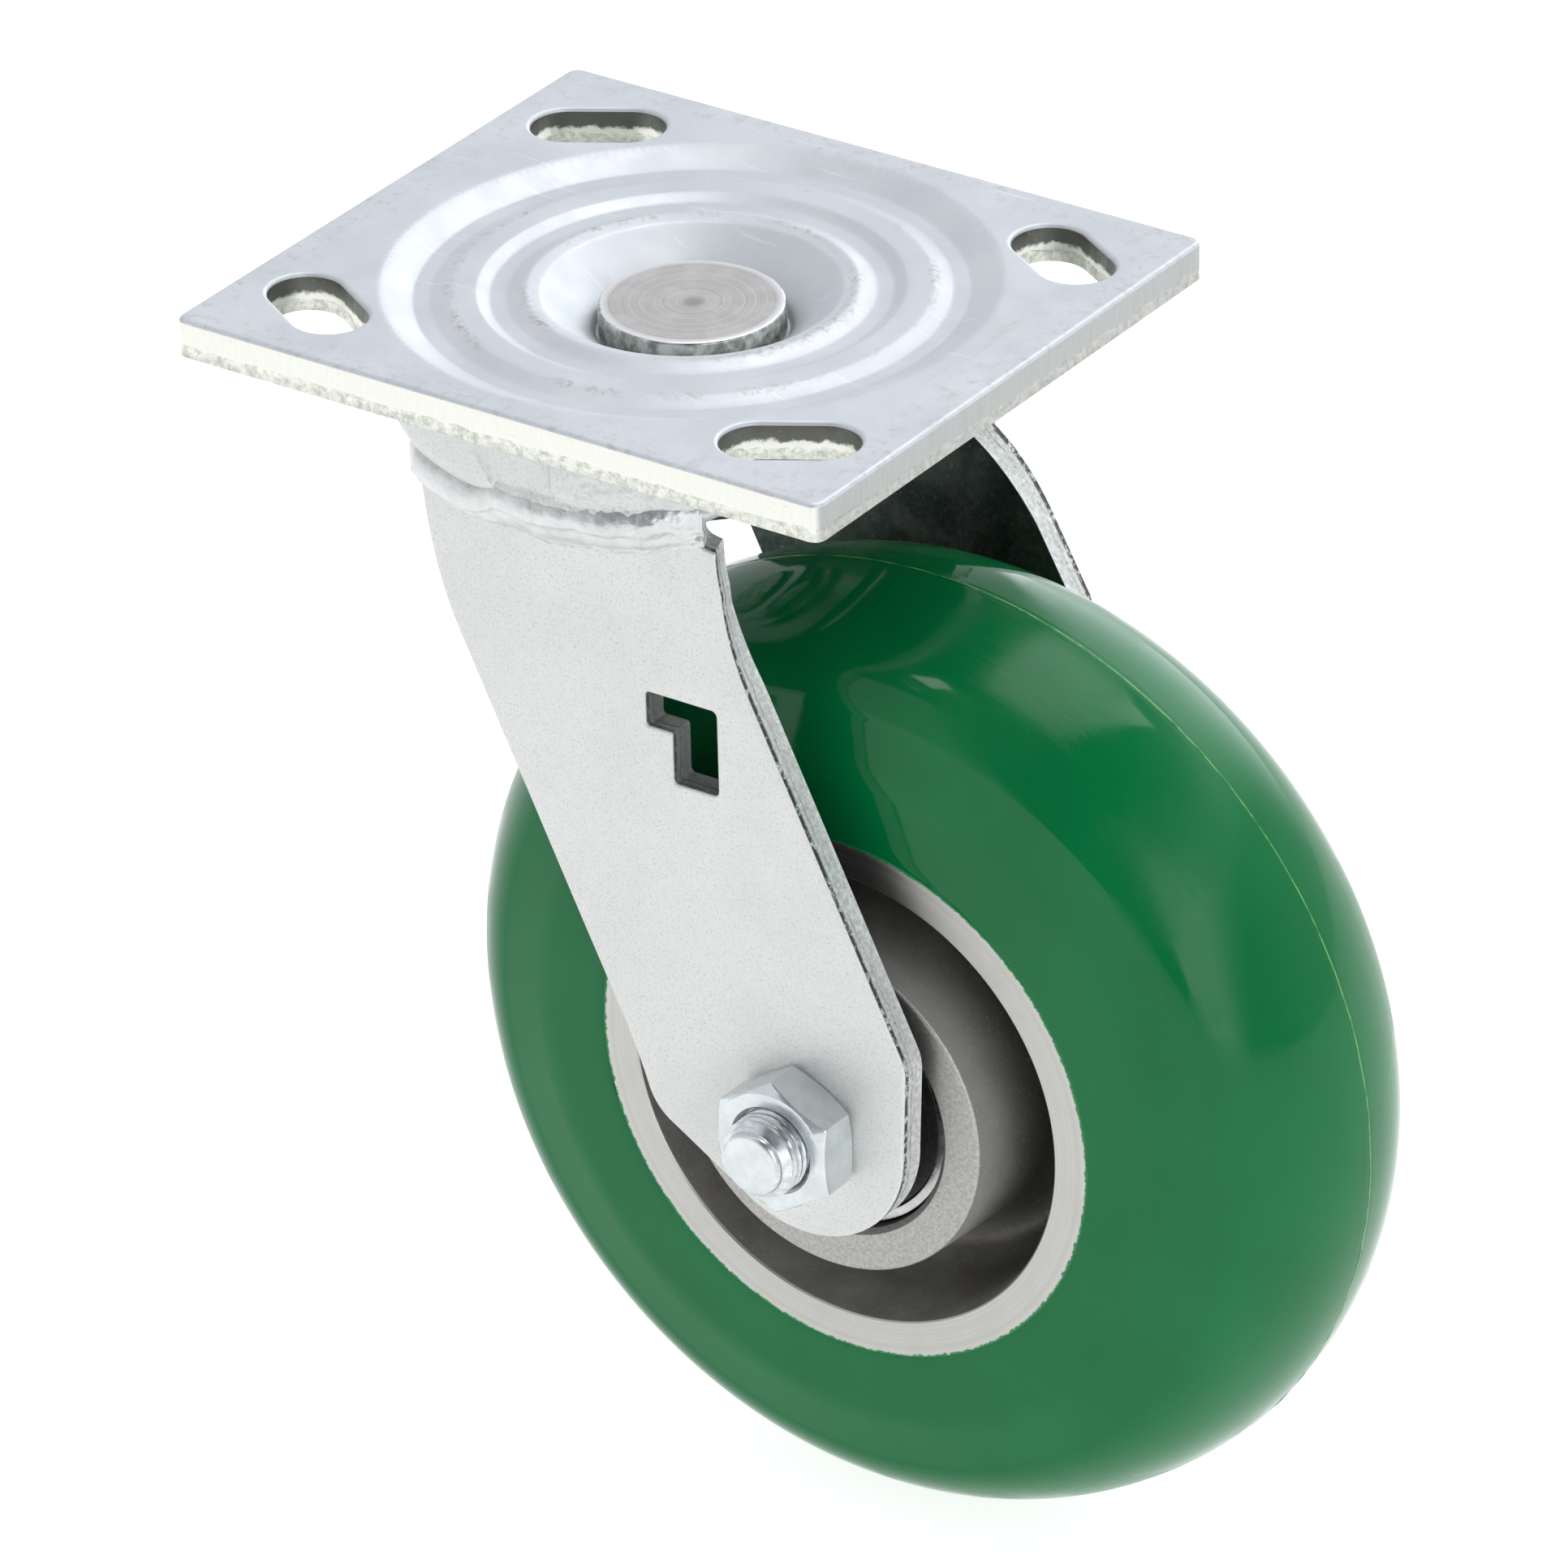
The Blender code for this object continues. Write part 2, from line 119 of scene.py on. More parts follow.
def laid(verts, along, origin):
    """Lays points made along Z along the Y axis instead, if asked to, and moves them to an origin."""
    points = np.array(verts)
    if along == "Y":
        points = np.stack([points[:, 0], points[:, 2], -points[:, 1]], axis=1)
    return points + np.array(origin)


def settle(obj, body, slot, *nodes):
    """The piece rides on a body and stands for some CAD nodes, which are hidden. The slot argument is not
    used.
    """
    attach(obj, body)
    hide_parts(*nodes)


def filleted(corners, steps=5, closed=True):
    """Replaces each (x, y, radius) corner of a polyline with an arc."""
    points = []
    count = len(corners)
    for index, (x, y, radius) in enumerate(corners):
        if radius == 0 or (not closed and index in (0, count - 1)):
            points.append((x, y))
            continue
        here = np.array((x, y), float)
        before = np.array(corners[index - 1][:2], float) - here
        after = np.array(corners[(index + 1) % count][:2], float) - here
        before_length, after_length = np.linalg.norm(before), np.linalg.norm(after)
        before, after = before / before_length, after / after_length
        half = math.acos(max(-1.0, min(1.0, float(before @ after)))) / 2
        reach = min(radius / math.tan(half), 0.49 * before_length, 0.49 * after_length)
        start, end = here + before * reach, here + after * reach
        for step in range(steps + 1):
            t = step / steps
            # A rational quadratic curve with this weight is an exact arc.
            weight = math.sin(half)
            b0, b1, b2 = (1 - t) ** 2, 2 * t * (1 - t) * weight, t * t
            point = (b0 * start + b1 * here + b2 * end) / (b0 + b1 + b2)
            points.append((float(point[0]), float(point[1])))
    return points


def subdivided(points, longest, closed=True):
    """Adds points to a polyline so that no stretch is longer than `longest`."""
    made = []
    pairs = list(zip(points, points[1:] + points[:1])) if closed else list(zip(points, points[1:]))
    for (x0, y0), (x1, y1) in pairs:
        count = max(1, math.ceil(math.hypot(x1 - x0, y1 - y0) / longest - 1e-9))
        for step in range(count):
            t = step / count
            made.append((x0 + (x1 - x0) * t, y0 + (y1 - y0) * t))
    if not closed:
        made.append(points[-1])
    return made


def bezier(start, control, end, steps):
    """Points of a quadratic curve, without its first point."""
    points = []
    for step in range(1, steps + 1):
        t = step / steps
        a, b, c = (1 - t) ** 2, 2 * t * (1 - t), t * t
        points.append(tuple(a * start[k] + b * control[k] + c * end[k] for k in (0, 1)))
    return points


def arc(centre, radius, start, end, steps):
    points = []
    for step in range(steps + 1):
        angle = math.radians(start + (end - start) * step / steps)
        points.append((centre[0] + radius * math.cos(angle), centre[1] + radius * math.sin(angle)))
    return points


def grid_faces(rows, columns, wrap_rows, wrap_columns):
    """Quads of a grid whose vertex number is row * columns + column."""
    faces = []
    for row in range(rows if wrap_rows else rows - 1):
        below = (row + 1) % rows
        for column in range(columns if wrap_columns else columns - 1):
            after = (column + 1) % columns
            near, far = row * columns, below * columns
            faces.append((near + column, near + after, far + after, far + column))
    return faces


def turned(
    name, profile, materials, segments, origin=(0, 0, 0), along="Z", closed=True, zone=None, shape=None,
    crease=34,
):
    """Turns a profile of (r, z) points.

    zone(r, z) picks the material of a face, and shape(r, z, angle) moves a point.
    """
    rows = []
    for r, z in profile:
        ring = []
        for step in range(segments):
            angle = 2 * math.pi * step / segments
            radius, height = (r, z) if shape is None else shape(r, z, angle)
            ring.append((*polar(radius, angle), height))
        rows.append(ring)
    verts = [point for ring in rows for point in ring]
    faces = grid_faces(len(rows), segments, closed, True)
    zones = None
    if zone is not None:
        zones = []
        for face in faces:
            middle = np.mean([verts[index] for index in face], axis=0)
            zones.append(zone(math.hypot(middle[0], middle[1]), middle[2]))
    if not closed:
        # Both ends lie on the axis: one point closes each.
        for row, flip in ((0, False), (len(rows) - 1, True)):
            pole = len(verts)
            verts.append((0.0, 0.0, profile[row][1]))
            for step in range(segments):
                after = (step + 1) % segments
                a, b = row * segments + step, row * segments + after
                faces.append((pole, b, a) if flip else (pole, a, b))
                if zones is not None:
                    zones.append(zone(0.0, profile[row][1]))
    return mesh_object(name, laid(verts, along, origin), faces, materials, zones, origin, crease)


def signed_area(loop):
    total = 0.0
    for (x0, y0), (x1, y1) in zip(loop, loop[1:] + loop[:1]):
        total += x0 * y1 - x1 * y0
    return total / 2


def inward_normals(loop):
    """Unit normals to the left of the loop's direction, averaged at each point."""
    points = np.array(loop)
    ahead = np.roll(points, -1, axis=0) - points
    ahead /= np.linalg.norm(ahead, axis=1)[:, None]
    mean = ahead + np.roll(ahead, 1, axis=0)
    mean /= np.linalg.norm(mean, axis=1)[:, None]
    return np.stack([-mean[:, 1], mean[:, 0]], axis=1)


def inside(points, loop):
    """Which points lie in a closed loop."""
    x, y = points[:, 0], points[:, 1]
    result = np.zeros(len(points), bool)
    for (x0, y0), (x1, y1) in zip(loop, loop[1:] + loop[:1]):
        if y0 == y1:
            continue
        crosses = (y0 > y) != (y1 > y)
        result ^= crosses & (x < (x1 - x0) * (y - y0) / (y1 - y0) + x0)
    return result


def stamped(name, outline, holes, inner_points, materials, top, bottom, place, roll, shear, rough):
    """A piece punched from sheet: a rolled edge on its top, then a smooth sheared band and a torn band.

    materials are those of the top, the sheared band, the torn band and the bottom. top(u, v) and
    bottom(u, v) give its two faces, and place(u, v, w) turns its own axes into the frame's. roll is the
    radius of the rolled edge, shear the share of the wall that is smooth, and rough how far the rest is
    torn back.
    """
    loops = []
    for index, loop in enumerate([outline, *holes]):
        positive = signed_area(loop) > 0
        loops.append(loop if positive == (index == 0) else loop[::-1])

    insets = [(roll * (1 - math.cos(a)), 1 - math.sin(a)) for a in np.radians((0, 22, 45, 68, 90))]
    coords, drops, edges, starts = [], [], [], []
    for loop in loops:
        normals = inward_normals(loop)
        loop_starts = []
        for inset, drop in insets:
            first = len(coords)
            loop_starts.append(first)
            for point, normal in zip(loop, normals):
                coords.append((point[0] + normal[0] * inset, point[1] + normal[1] * inset))
                drops.append(drop)
            edges += [(first + k, first + (k + 1) % len(loop)) for k in range(len(loop))]
        starts.append(loop_starts)
    for u, v in inner_points:
        coords.append((u, v))
        drops.append(0.0)

    found = delaunay_2d_cdt([Vector(c) for c in coords], edges, [], 0, 1e-6)
    plane_verts, triangles, sources = found[0], found[2], found[3]
    flat = np.array([(v.x, v.y) for v in plane_verts])
    drop_of = np.array([max(drops[s] for s in source) if source else 0.0 for source in sources])
    output_of = {}
    for index, source in enumerate(sources):
        for s in source:
            output_of[s] = index
    centres = np.array([flat[list(t)].mean(axis=0) for t in triangles])
    keep = inside(centres, loops[0])
    for loop in loops[1:]:
        keep &= ~inside(centres, loop)

    verts, faces, zones = [], [], []
    for (u, v), drop in zip(flat, drop_of):
        verts.append((u, v, top(u, v) - drop * roll * 0.8))
    for (u, v), drop in zip(flat, drop_of):
        verts.append((u, v, bottom(u, v) + drop * 0.12))
    count = len(flat)
    for triangle, kept in zip(triangles, keep):
        if kept:
            a, b, c = triangle
            faces += [(a, b, c), (count + c, count + b, count + a)]
            zones += [0, 3]

    shares = (0.0, 0.2, 0.45, shear - 0.02, shear + 0.02, 0.75, 0.88, 1.0)
    for loop, loop_starts in zip(loops, starts):
        normals = inward_normals(loop)
        size = len(loop)
        previous = [output_of[loop_starts[0] + k] for k in range(size)]
        top_ring = list(previous)
        bottom_ring = [count + index for index in top_ring]
        for level, share in enumerate(shares[1:], 1):
            if level == len(shares) - 1:
                ring = bottom_ring
            else:
                ring = []
                for k in range(size):
                    u, v = loop[k]
                    high, low = verts[top_ring[k]][2], verts[bottom_ring[k]][2]
                    tear = 0.06 * jitter(u, v, 3.0, 2.6, 2) if 0.3 < share < 0.9 else 0.0
                    w = high + (low - high) * (share + tear)
                    if share < shear:
                        inset = 0.02 + 0.03 * jitter(u, v, 0.3 * w, 1.1)
                    else:
                        inset = rough * (1.1 + 1.4 * jitter(u, v, w, 0.9, 2))
                    ring.append(len(verts))
                    verts.append((u + normals[k][0] * inset, v + normals[k][1] * inset, w))
            for k in range(size):
                after = (k + 1) % size
                faces.append((previous[k], ring[k], ring[after], previous[after]))
                zones.append(1 if shares[level] < shear + 0.01 else 2)
            previous = ring
    # Points in the holes belong to no face and are left out.
    used = sorted({index for face in faces for index in face})
    renumber = {old: new for new, old in enumerate(used)}
    faces = [tuple(renumber[index] for index in face) for face in faces]
    return mesh_object(name, [place(*verts[index]) for index in used], faces, materials, zones)


# ---------------------------------------------------------------- materials


class Nodes:
    """Short ways to add nodes to the tree of a material or of the world."""

    def __init__(self, tree):
        self.tree = tree

    def put(self, value, socket):
        """Links an output to a socket, or sets the socket to a plain value."""
        if isinstance(value, bpy.types.NodeSocket):
            self.tree.links.new(value, socket)
        elif socket.type == "RGBA":
            socket.default_value = (*value, 1.0)
        else:
            socket.default_value = value

    def node(self, kind, output, inputs, **settings):
        """Adds a node and returns one of its outputs. inputs gives a value for a socket's name or number."""
        node = self.tree.nodes.new("ShaderNode" + kind)
        for name, value in settings.items():
            setattr(node, name, value)
        for key, value in inputs.items():
            self.put(value, node.inputs[key])
        return node.outputs[output]

    def ramp(self, source, low, high, start=0.0, end=1.0):
        """Maps source from low..high to start..end, clamped and eased."""
        inputs = {"Value": source, "From Min": low, "From Max": high, "To Min": start, "To Max": end}
        return self.node("MapRange", "Result", inputs, interpolation_type="SMOOTHSTEP")

    def maths(self, operation, *values):
        return self.node("Math", "Value", dict(enumerate(values)), operation=operation)

    def times(self, first, second):
        return self.maths("MULTIPLY", first, second)

    def plus(self, first, second):
        return self.maths("ADD", first, second)

    def off(self, value, centre):
        """How far a value is from a centre."""
        return self.maths("ABSOLUTE", self.maths("SUBTRACT", value, centre))

    def mix(self, factor, first, second):
        """Mixes two colours. Each is a colour or a socket."""
        return self.node("Mix", 2, {"Factor": factor, 6: first, 7: second}, data_type="RGBA")

    def over(self, tone, mask, share, colour):
        """Lays a colour over a tone where the mask is, as strongly as share says."""
        return self.mix(self.times(mask, share), tone, colour)


class Shader(Nodes):
    """One Principled material. Lengths in its nodes are in millimetres."""

    def __init__(self, name, colour, metallic, roughness):
        self.material = bpy.data.materials.new(name)
        self.material.use_nodes = True
        self.material.diffuse_color = (*colour, 1.0)
        super().__init__(self.material.node_tree)
        self.bsdf = self.tree.nodes["Principled BSDF"]
        self.put(colour, self.bsdf.inputs["Base Color"])
        self.put(metallic, self.bsdf.inputs["Metallic"])
        self.put(roughness, self.bsdf.inputs["Roughness"])
        self.point = self.mapped((1 / MM, 1 / MM, 1 / MM), self.node("TexCoord", "Object", {}))

    def mapped(self, scale, source=None):
        return self.node("Mapping", "Vector", {"Vector": source or self.point, "Scale": scale})

    def noise(self, scale, detail=3.0, roughness=0.55, point=None):
        inputs = {"Vector": point or self.point, "Scale": scale, "Detail": detail, "Roughness": roughness}
        return self.node("TexNoise", "Fac", inputs)

    def patches(self, scale, detail, roughness, low, high, start=0.0, end=1.0, point=None):
        """Noise, with its values from low to high spread over start..end."""
        return self.ramp(self.noise(scale, detail, roughness, point), low, high, start, end)

    def parts(self):
        """The x, y and z of the point."""
        node = self.tree.nodes.new("ShaderNodeSeparateXYZ")
        self.put(self.point, node.inputs["Vector"])
        return tuple(node.outputs)

    def radial(self, first, second):
        """Distance from the axis of a turned piece, from two of its point's parts."""
        return self.maths("SQRT", self.plus(self.times(first, first), self.times(second, second)))

    def rings(self, distance, scale):
        """Noise that changes with the distance only, as the marks of a lathe tool do."""
        return self.noise(scale, 3.0, 0.6, self.node("CombineXYZ", "Vector", {"X": distance}))

    def made(self, tone, gloss, height, strength, depth):
        """Links what was worked out and returns the material. depth is that of the bumps, in millimetres."""
        self.put(tone, self.bsdf.inputs["Base Color"])
        self.put(gloss, self.bsdf.inputs["Roughness"])
        inputs = {"Strength": strength, "Distance": depth * MM, "Height": height}
        self.put(self.node("Bump", "Normal", inputs), self.bsdf.inputs["Normal"])
        return self.material


def plate_face():
    """Zinc on the pressed plate: cloudy, stained near its edges, with rubbed rings and fine scratches."""
    s = Shader("zinc_plate_face", (0.80, 0.82, 0.88), 0.5, 0.48)
    x, y, _ = s.parts()
    tone = s.mix(s.patches(0.055, 4.0, 0.6, 0.35, 0.68), (0.575, 0.60, 0.635), (0.635, 0.655, 0.685))
    tone = s.over(tone, s.patches(1.9, 5.0, 0.72, 0.60, 0.78), 0.5, (0.54, 0.53, 0.55))
    across = s.maths("DIVIDE", s.maths("ABSOLUTE", x), PLATE_LENGTH / 2)
    along = s.maths("DIVIDE", s.maths("ABSOLUTE", y), PLATE_WIDTH / 2)
    near_edge = s.ramp(s.maths("MAXIMUM", across, along), 0.80, 1.0)
    stains = s.times(s.patches(0.42, 6.0, 0.75, 0.50, 0.66), near_edge)
    tone = s.over(tone, stains, 0.65, (0.46, 0.43, 0.42))
    distance = s.radial(x, y)
    inner = s.ramp(s.off(distance, 24.6), 1.7, 0.5)
    outer = s.ramp(s.off(distance, 35.9), 1.3, 0.3)
    rubbed = s.times(s.maths("MAXIMUM", inner, outer), s.patches(0.06, 2.0, 0.5, 0.42, 0.56))
    rubbed = s.times(rubbed, s.patches(0.8, 6.0, 0.78, 0.47, 0.60))
    tone = s.over(tone, rubbed, 0.8, (0.43, 0.39, 0.37))
    line = s.off(s.plus(x, s.times(s.noise(0.09, 2.0), 3.0)), 50.2)
    drips = s.patches(0.5, 4.0, 0.7, 0.48, 0.66, point=s.mapped((1.0, 0.3, 1.0)))
    tone = s.over(tone, s.times(s.ramp(line, 1.3, 0.2), drips), 0.6, (0.52, 0.44, 0.42))
    scratches = s.patches(1.0, 2.0, 0.5, 0.66, 0.74, point=s.mapped((0.03, 0.9, 0.2)))
    tone = s.over(tone, scratches, 0.25, (0.93, 0.93, 0.97))
    grain = s.plus(s.noise(3.2, 3.0, 0.6), s.times(s.noise(0.5, 3.0), 1.6))
    return s.made(tone, s.patches(0.16, 4.0, 0.6, 0.3, 0.7, 0.42, 0.54), grain, 0.32, 0.03)


def plate_shear():
    """Cut walls of the plate. The +X wall is darker, and the top of the slots' walls has a painted dark
    reflection.
    """
    s = Shader("zinc_sheared_edge", (0.84, 0.85, 0.78), 1.0, 0.42)
    x, y, z = s.parts()
    drag = s.noise(1.3, 3.0, 0.6, s.mapped((1.0, 1.0, 0.16)))
    tone = s.mix(s.ramp(drag, 0.35, 0.7), (0.76, 0.77, 0.71), (0.83, 0.835, 0.77))
    tone = s.over(tone, s.ramp(x, 56.2, 57.0), 0.9, s.mix(drag, (0.26, 0.27, 0.27), (0.52, 0.53, 0.53)))
    # A painted dark reflection along the top of the slots' walls.
    in_slot = s.times(s.ramp(s.maths("ABSOLUTE", x), 53.5, 53.0), s.ramp(s.maths("ABSOLUTE", y), 47.5, 47.0))
    depth = s.plus(z, s.times(s.noise(0.55, 4.0, 0.65), 2.4))
    tone = s.over(tone, s.times(s.ramp(depth, -2.3, -1.6), in_slot), 0.9, (0.06, 0.065, 0.055))
    tone = s.over(tone, s.patches(1.1, 6.0, 0.75, 0.60, 0.72), 0.6, (0.46, 0.46, 0.40))
    height = s.plus(drag, s.noise(2.5, 4.0, 0.7))
    return s.made(tone, s.ramp(drag, 0.3, 0.7, 0.34, 0.5), height, 0.5, 0.06)


def plate_torn():
    s = Shader("zinc_torn_edge", (0.74, 0.76, 0.68), 1.0, 0.5)
    rough = s.noise(0.9, 6.0, 0.75)
    tone = s.mix(s.ramp(rough, 0.30, 0.62), (0.56, 0.57, 0.50), (0.84, 0.85, 0.78))
    greyer = s.ramp(s.parts()[0], 56.0, 57.0)
    tone = s.over(tone, greyer, 0.8, s.mix(rough, (0.26, 0.26, 0.25), (0.66, 0.66, 0.64)))
    return s.made(tone, s.ramp(rough, 0.3, 0.7, 0.6, 0.42), s.noise(2.0, 5.0, 0.7), 0.8, 0.12)


def leg_zinc(name):
    """Zinc over blasted steel: pale, satin, with a fine grain."""
    s = Shader(name, (0.80, 0.81, 0.79), 0.38, 0.46)
    tone = s.mix(s.patches(0.06, 4.0, 0.6, 0.35, 0.66), (0.69, 0.70, 0.68), (0.725, 0.73, 0.71))
    tone = s.over(tone, s.patches(2.4, 4.0, 0.75, 0.50, 0.68), 0.5, (0.38, 0.39, 0.37))
    tone = s.over(tone, s.patches(1.7, 5.0, 0.8, 0.63, 0.72), 0.7, (0.93, 0.93, 0.91))
    tone = s.over(tone, s.patches(0.35, 6.0, 0.75, 0.64, 0.74), 0.30, (0.54, 0.51, 0.47))
    blasted = s.plus(s.noise(2.6, 3.0, 0.65), s.times(s.noise(0.5, 3.0), 0.8))
    return s.made(tone, s.patches(0.9, 4.0, 0.65, 0.3, 0.7, 0.38, 0.54), blasted, 1.0, 0.07)


def in_brake_slot(s):
    """Marks the walls of the leg's L-shaped slot, and no other part of its edge, for painted shade."""
    x, _, z = s.parts()
    across = s.ramp(s.off(x, 21.6), 8.0, 7.4)
    down = s.ramp(s.maths("ABSOLUTE", s.plus(z, 55.2)), 9.0, 8.4)
    return s.times(s.times(across, down), 0.75)


def leg_shear():
    """The smooth band of the leg's edge, with dark nicks beside its outer face."""
    s = Shader("zinc_leg_sheared_edge", (0.76, 0.77, 0.75), 0.3, 0.42)
    drag = s.noise(1.5, 3.0, 0.6, s.mapped((1.0, 0.2, 1.0)))
    tone = s.mix(s.ramp(drag, 0.35, 0.7), (0.62, 0.63, 0.61), (0.90, 0.91, 0.89))
    tone = s.mix(s.patches(1.6, 5.0, 0.8, 0.52, 0.64), tone, (0.24, 0.24, 0.23))
    near_face = s.ramp(s.maths("ABSOLUTE", s.parts()[1]), 34.7, 35.5)
    tone = s.mix(s.times(near_face, s.patches(0.8, 5.0, 0.75, 0.40, 0.50)), tone, (0.07, 0.07, 0.065))
    # Painted shade on the walls of the brake slot.
    tone = s.mix(in_brake_slot(s), tone, (0.15, 0.16, 0.15))
    height = s.plus(drag, s.noise(2.4, 4.0, 0.7))
    return s.made(tone, s.ramp(drag, 0.3, 0.7, 0.30, 0.46), height, 0.6, 0.08)


def leg_torn():
    s = Shader("zinc_leg_torn_edge", (0.70, 0.71, 0.69), 0.3, 0.48)
    rough = s.noise(1.3, 5.0, 0.72)
    tone = s.mix(s.ramp(rough, 0.35, 0.68), (0.60, 0.61, 0.59), (0.92, 0.93, 0.91))
    # Painted shade on the walls of the brake slot.
    tone = s.mix(in_brake_slot(s), tone, (0.15, 0.16, 0.15))
    return s.made(tone, s.ramp(rough, 0.3, 0.7, 0.56, 0.40), s.noise(2.4, 4.0, 0.7), 0.7, 0.09)


def painted_shade_zinc(name, light=1.0):
    """Zinc of inner and lower faces, darkened all over as painted shade, and blotched where little of it was
    laid down.
    """
    s = Shader(name, (0.20, 0.22, 0.205), 1.0, 0.5)
    # The dark and pale tones are painted shade; light scales them up for a lighter painted shade.
    tones = (0.045, 0.062, 0.054), (0.12, 0.137, 0.125)
    dark, pale = [tuple(light * part for part in tone) for tone in tones]
    tone = s.mix(s.patches(0.10, 5.0, 0.65, 0.36, 0.62), dark, pale)
    tone = s.over(tone, s.patches(1.5, 6.0, 0.75, 0.56, 0.70), 0.45, (0.40, 0.42, 0.40))
    return s.made(tone, s.patches(0.9, 4.0, 0.65, 0.3, 0.7, 0.42, 0.6), s.noise(1.6, 4.0, 0.6), 0.5, 0.05)


def weld_zinc():
    s = Shader("zinc_weld", (0.78, 0.79, 0.78), 0.7, 0.34)
    lumps = s.noise(0.35, 5.0, 0.65)
    tone = s.mix(s.ramp(lumps, 0.35, 0.7), (0.62, 0.635, 0.63), (0.72, 0.73, 0.72))
    tone = s.over(tone, s.patches(0.8, 6.0, 0.75, 0.60, 0.76), 0.7, (0.34, 0.34, 0.33))
    height = s.plus(s.noise(1.1, 4.0, 0.65), lumps)
    return s.made(tone, s.ramp(lumps, 0.3, 0.7, 0.26, 0.42), height, 0.75, 0.14)


def bright_zinc():
    s = Shader("zinc_bright", (0.80, 0.835, 0.85), 0.75, 0.24)
    tone = s.mix(s.patches(0.28, 4.0, 0.6, 0.35, 0.68), (0.62, 0.665, 0.675), (0.72, 0.765, 0.775))
    tone = s.over(tone, s.patches(1.6, 6.0, 0.75, 0.62, 0.76), 0.15, (0.56, 0.56, 0.55))
    waves = s.noise(0.35, 2.0, 0.5)
    return s.made(tone, s.ramp(waves, 0.3, 0.7, 0.20, 0.28), waves, 0.10, 0.03)


def pin_face():
    """The turned face of the kingpin: brownish, darker in its middle and bright at its rim."""
    s = Shader("kingpin_turned_face", (0.56, 0.53, 0.51), 1.0, 0.40)
    x, y, _ = s.parts()
    distance = s.radial(x, y)
    tool = s.rings(distance, 2.4)
    tone = s.mix(s.ramp(tool, 0.35, 0.65), (0.50, 0.475, 0.46), (0.60, 0.575, 0.56))
    tone = s.over(tone, s.patches(0.22, 4.0, 0.6, 0.4, 0.65), 0.5, (0.66, 0.64, 0.63))
    tone = s.mix(s.ramp(distance, 12.2, 13.6), tone, (0.82, 0.83, 0.84))
    tone = s.over(tone, s.ramp(distance, 2.6, 0.6), 0.8, (0.33, 0.31, 0.30))
    height = s.plus(tool, s.times(s.noise(2.0, 3.0), 0.5))
    return s.made(tone, s.ramp(tool, 0.3, 0.7, 0.30, 0.46), height, 0.30, 0.05)


def pin_side():
    s = Shader("kingpin_side", (0.76, 0.79, 0.74), 1.0, 0.34)
    cloud = s.noise(0.5, 4.0, 0.6)
    tone = s.mix(s.ramp(cloud, 0.35, 0.68), (0.22, 0.24, 0.21), (0.62, 0.64, 0.60))
    return s.made(tone, s.ramp(cloud, 0.3, 0.7, 0.26, 0.44), s.noise(1.6, 4.0, 0.6), 0.3, 0.05)


def steel(name, colour, roughness):
    s = Shader(name, colour, 1.0, roughness)
    cloud = s.noise(0.6, 4.0, 0.6)
    dark, light = [tuple(share * part for part in colour) for share in (0.82, 1.12)]
    tone = s.mix(s.ramp(cloud, 0.35, 0.68), dark, light)
    gloss = s.ramp(cloud, 0.3, 0.7, 0.8 * roughness, 1.25 * roughness)
    return s.made(tone, gloss, s.noise(2.2, 3.0, 0.6), 0.2, 0.03)


def cast_aluminium():
    """The as-cast skin of the hub, web and rim: dark, matt and grainy, with painted light on the hub's side
    near its face, painted shade on the web's +X side, and painted shade that makes the bore almost black.
    """
    s = Shader("aluminium_cast", (0.50, 0.48, 0.45), 0.4, 0.52)
    x, y, z = s.parts()
    distance, from_middle = s.radial(x, z), s.maths("ABSOLUTE", y)
    tone = s.mix(s.patches(0.12, 4.0, 0.6, 0.35, 0.68), (0.255, 0.245, 0.23), (0.335, 0.325, 0.305))
    # Painted light: the hub's side is lighter near the hub face and fades towards the web.
    hub_side_painted_light = s.times(s.ramp(from_middle, 17.0, 29.2), s.ramp(distance, 32.0, 29.5))
    tone = s.mix(hub_side_painted_light, tone, (0.36, 0.35, 0.33))
    # Painted shade on the web's +X side, near the middle of the wheel.
    web_painted_shade = s.times(s.ramp(x, 8.0, 24.0), s.ramp(from_middle, 26.0, 12.0))
    tone = s.mix(web_painted_shade, tone, (0.13, 0.125, 0.115))
    # Painted shade in the bore makes it almost black.
    tone = s.mix(s.ramp(distance, 21.0, 20.4), tone, (0.06, 0.055, 0.05))
    tone = s.over(tone, s.patches(1.5, 5.0, 0.75, 0.56, 0.70), 0.45, (0.58, 0.56, 0.53))
    height = s.plus(s.noise(1.6, 4.0, 0.65), s.noise(0.5, 3.0))
    return s.made(tone, s.patches(0.8, 4.0, 0.6, 0.3, 0.7, 0.46, 0.62), height, 0.45, 0.07)


def hub_aluminium():
    """The machined hub face: warm grey, finely speckled."""
    s = Shader("aluminium_hub_face", (0.56, 0.54, 0.51), 0.85, 0.44)
    x, _, z = s.parts()
    tool = s.rings(s.radial(x, z), 1.6)
    speckle = s.noise(1.7, 4.0, 0.75)
    tone = s.mix(s.ramp(speckle, 0.35, 0.68), (0.35, 0.34, 0.32), (0.49, 0.48, 0.455))
    tone = s.over(tone, s.patches(0.9, 6.0, 0.75, 0.66, 0.76), 0.7, (0.20, 0.19, 0.18))
    return s.made(tone, s.ramp(tool, 0.3, 0.7, 0.38, 0.52), s.plus(tool, speckle), 0.32, 0.05)


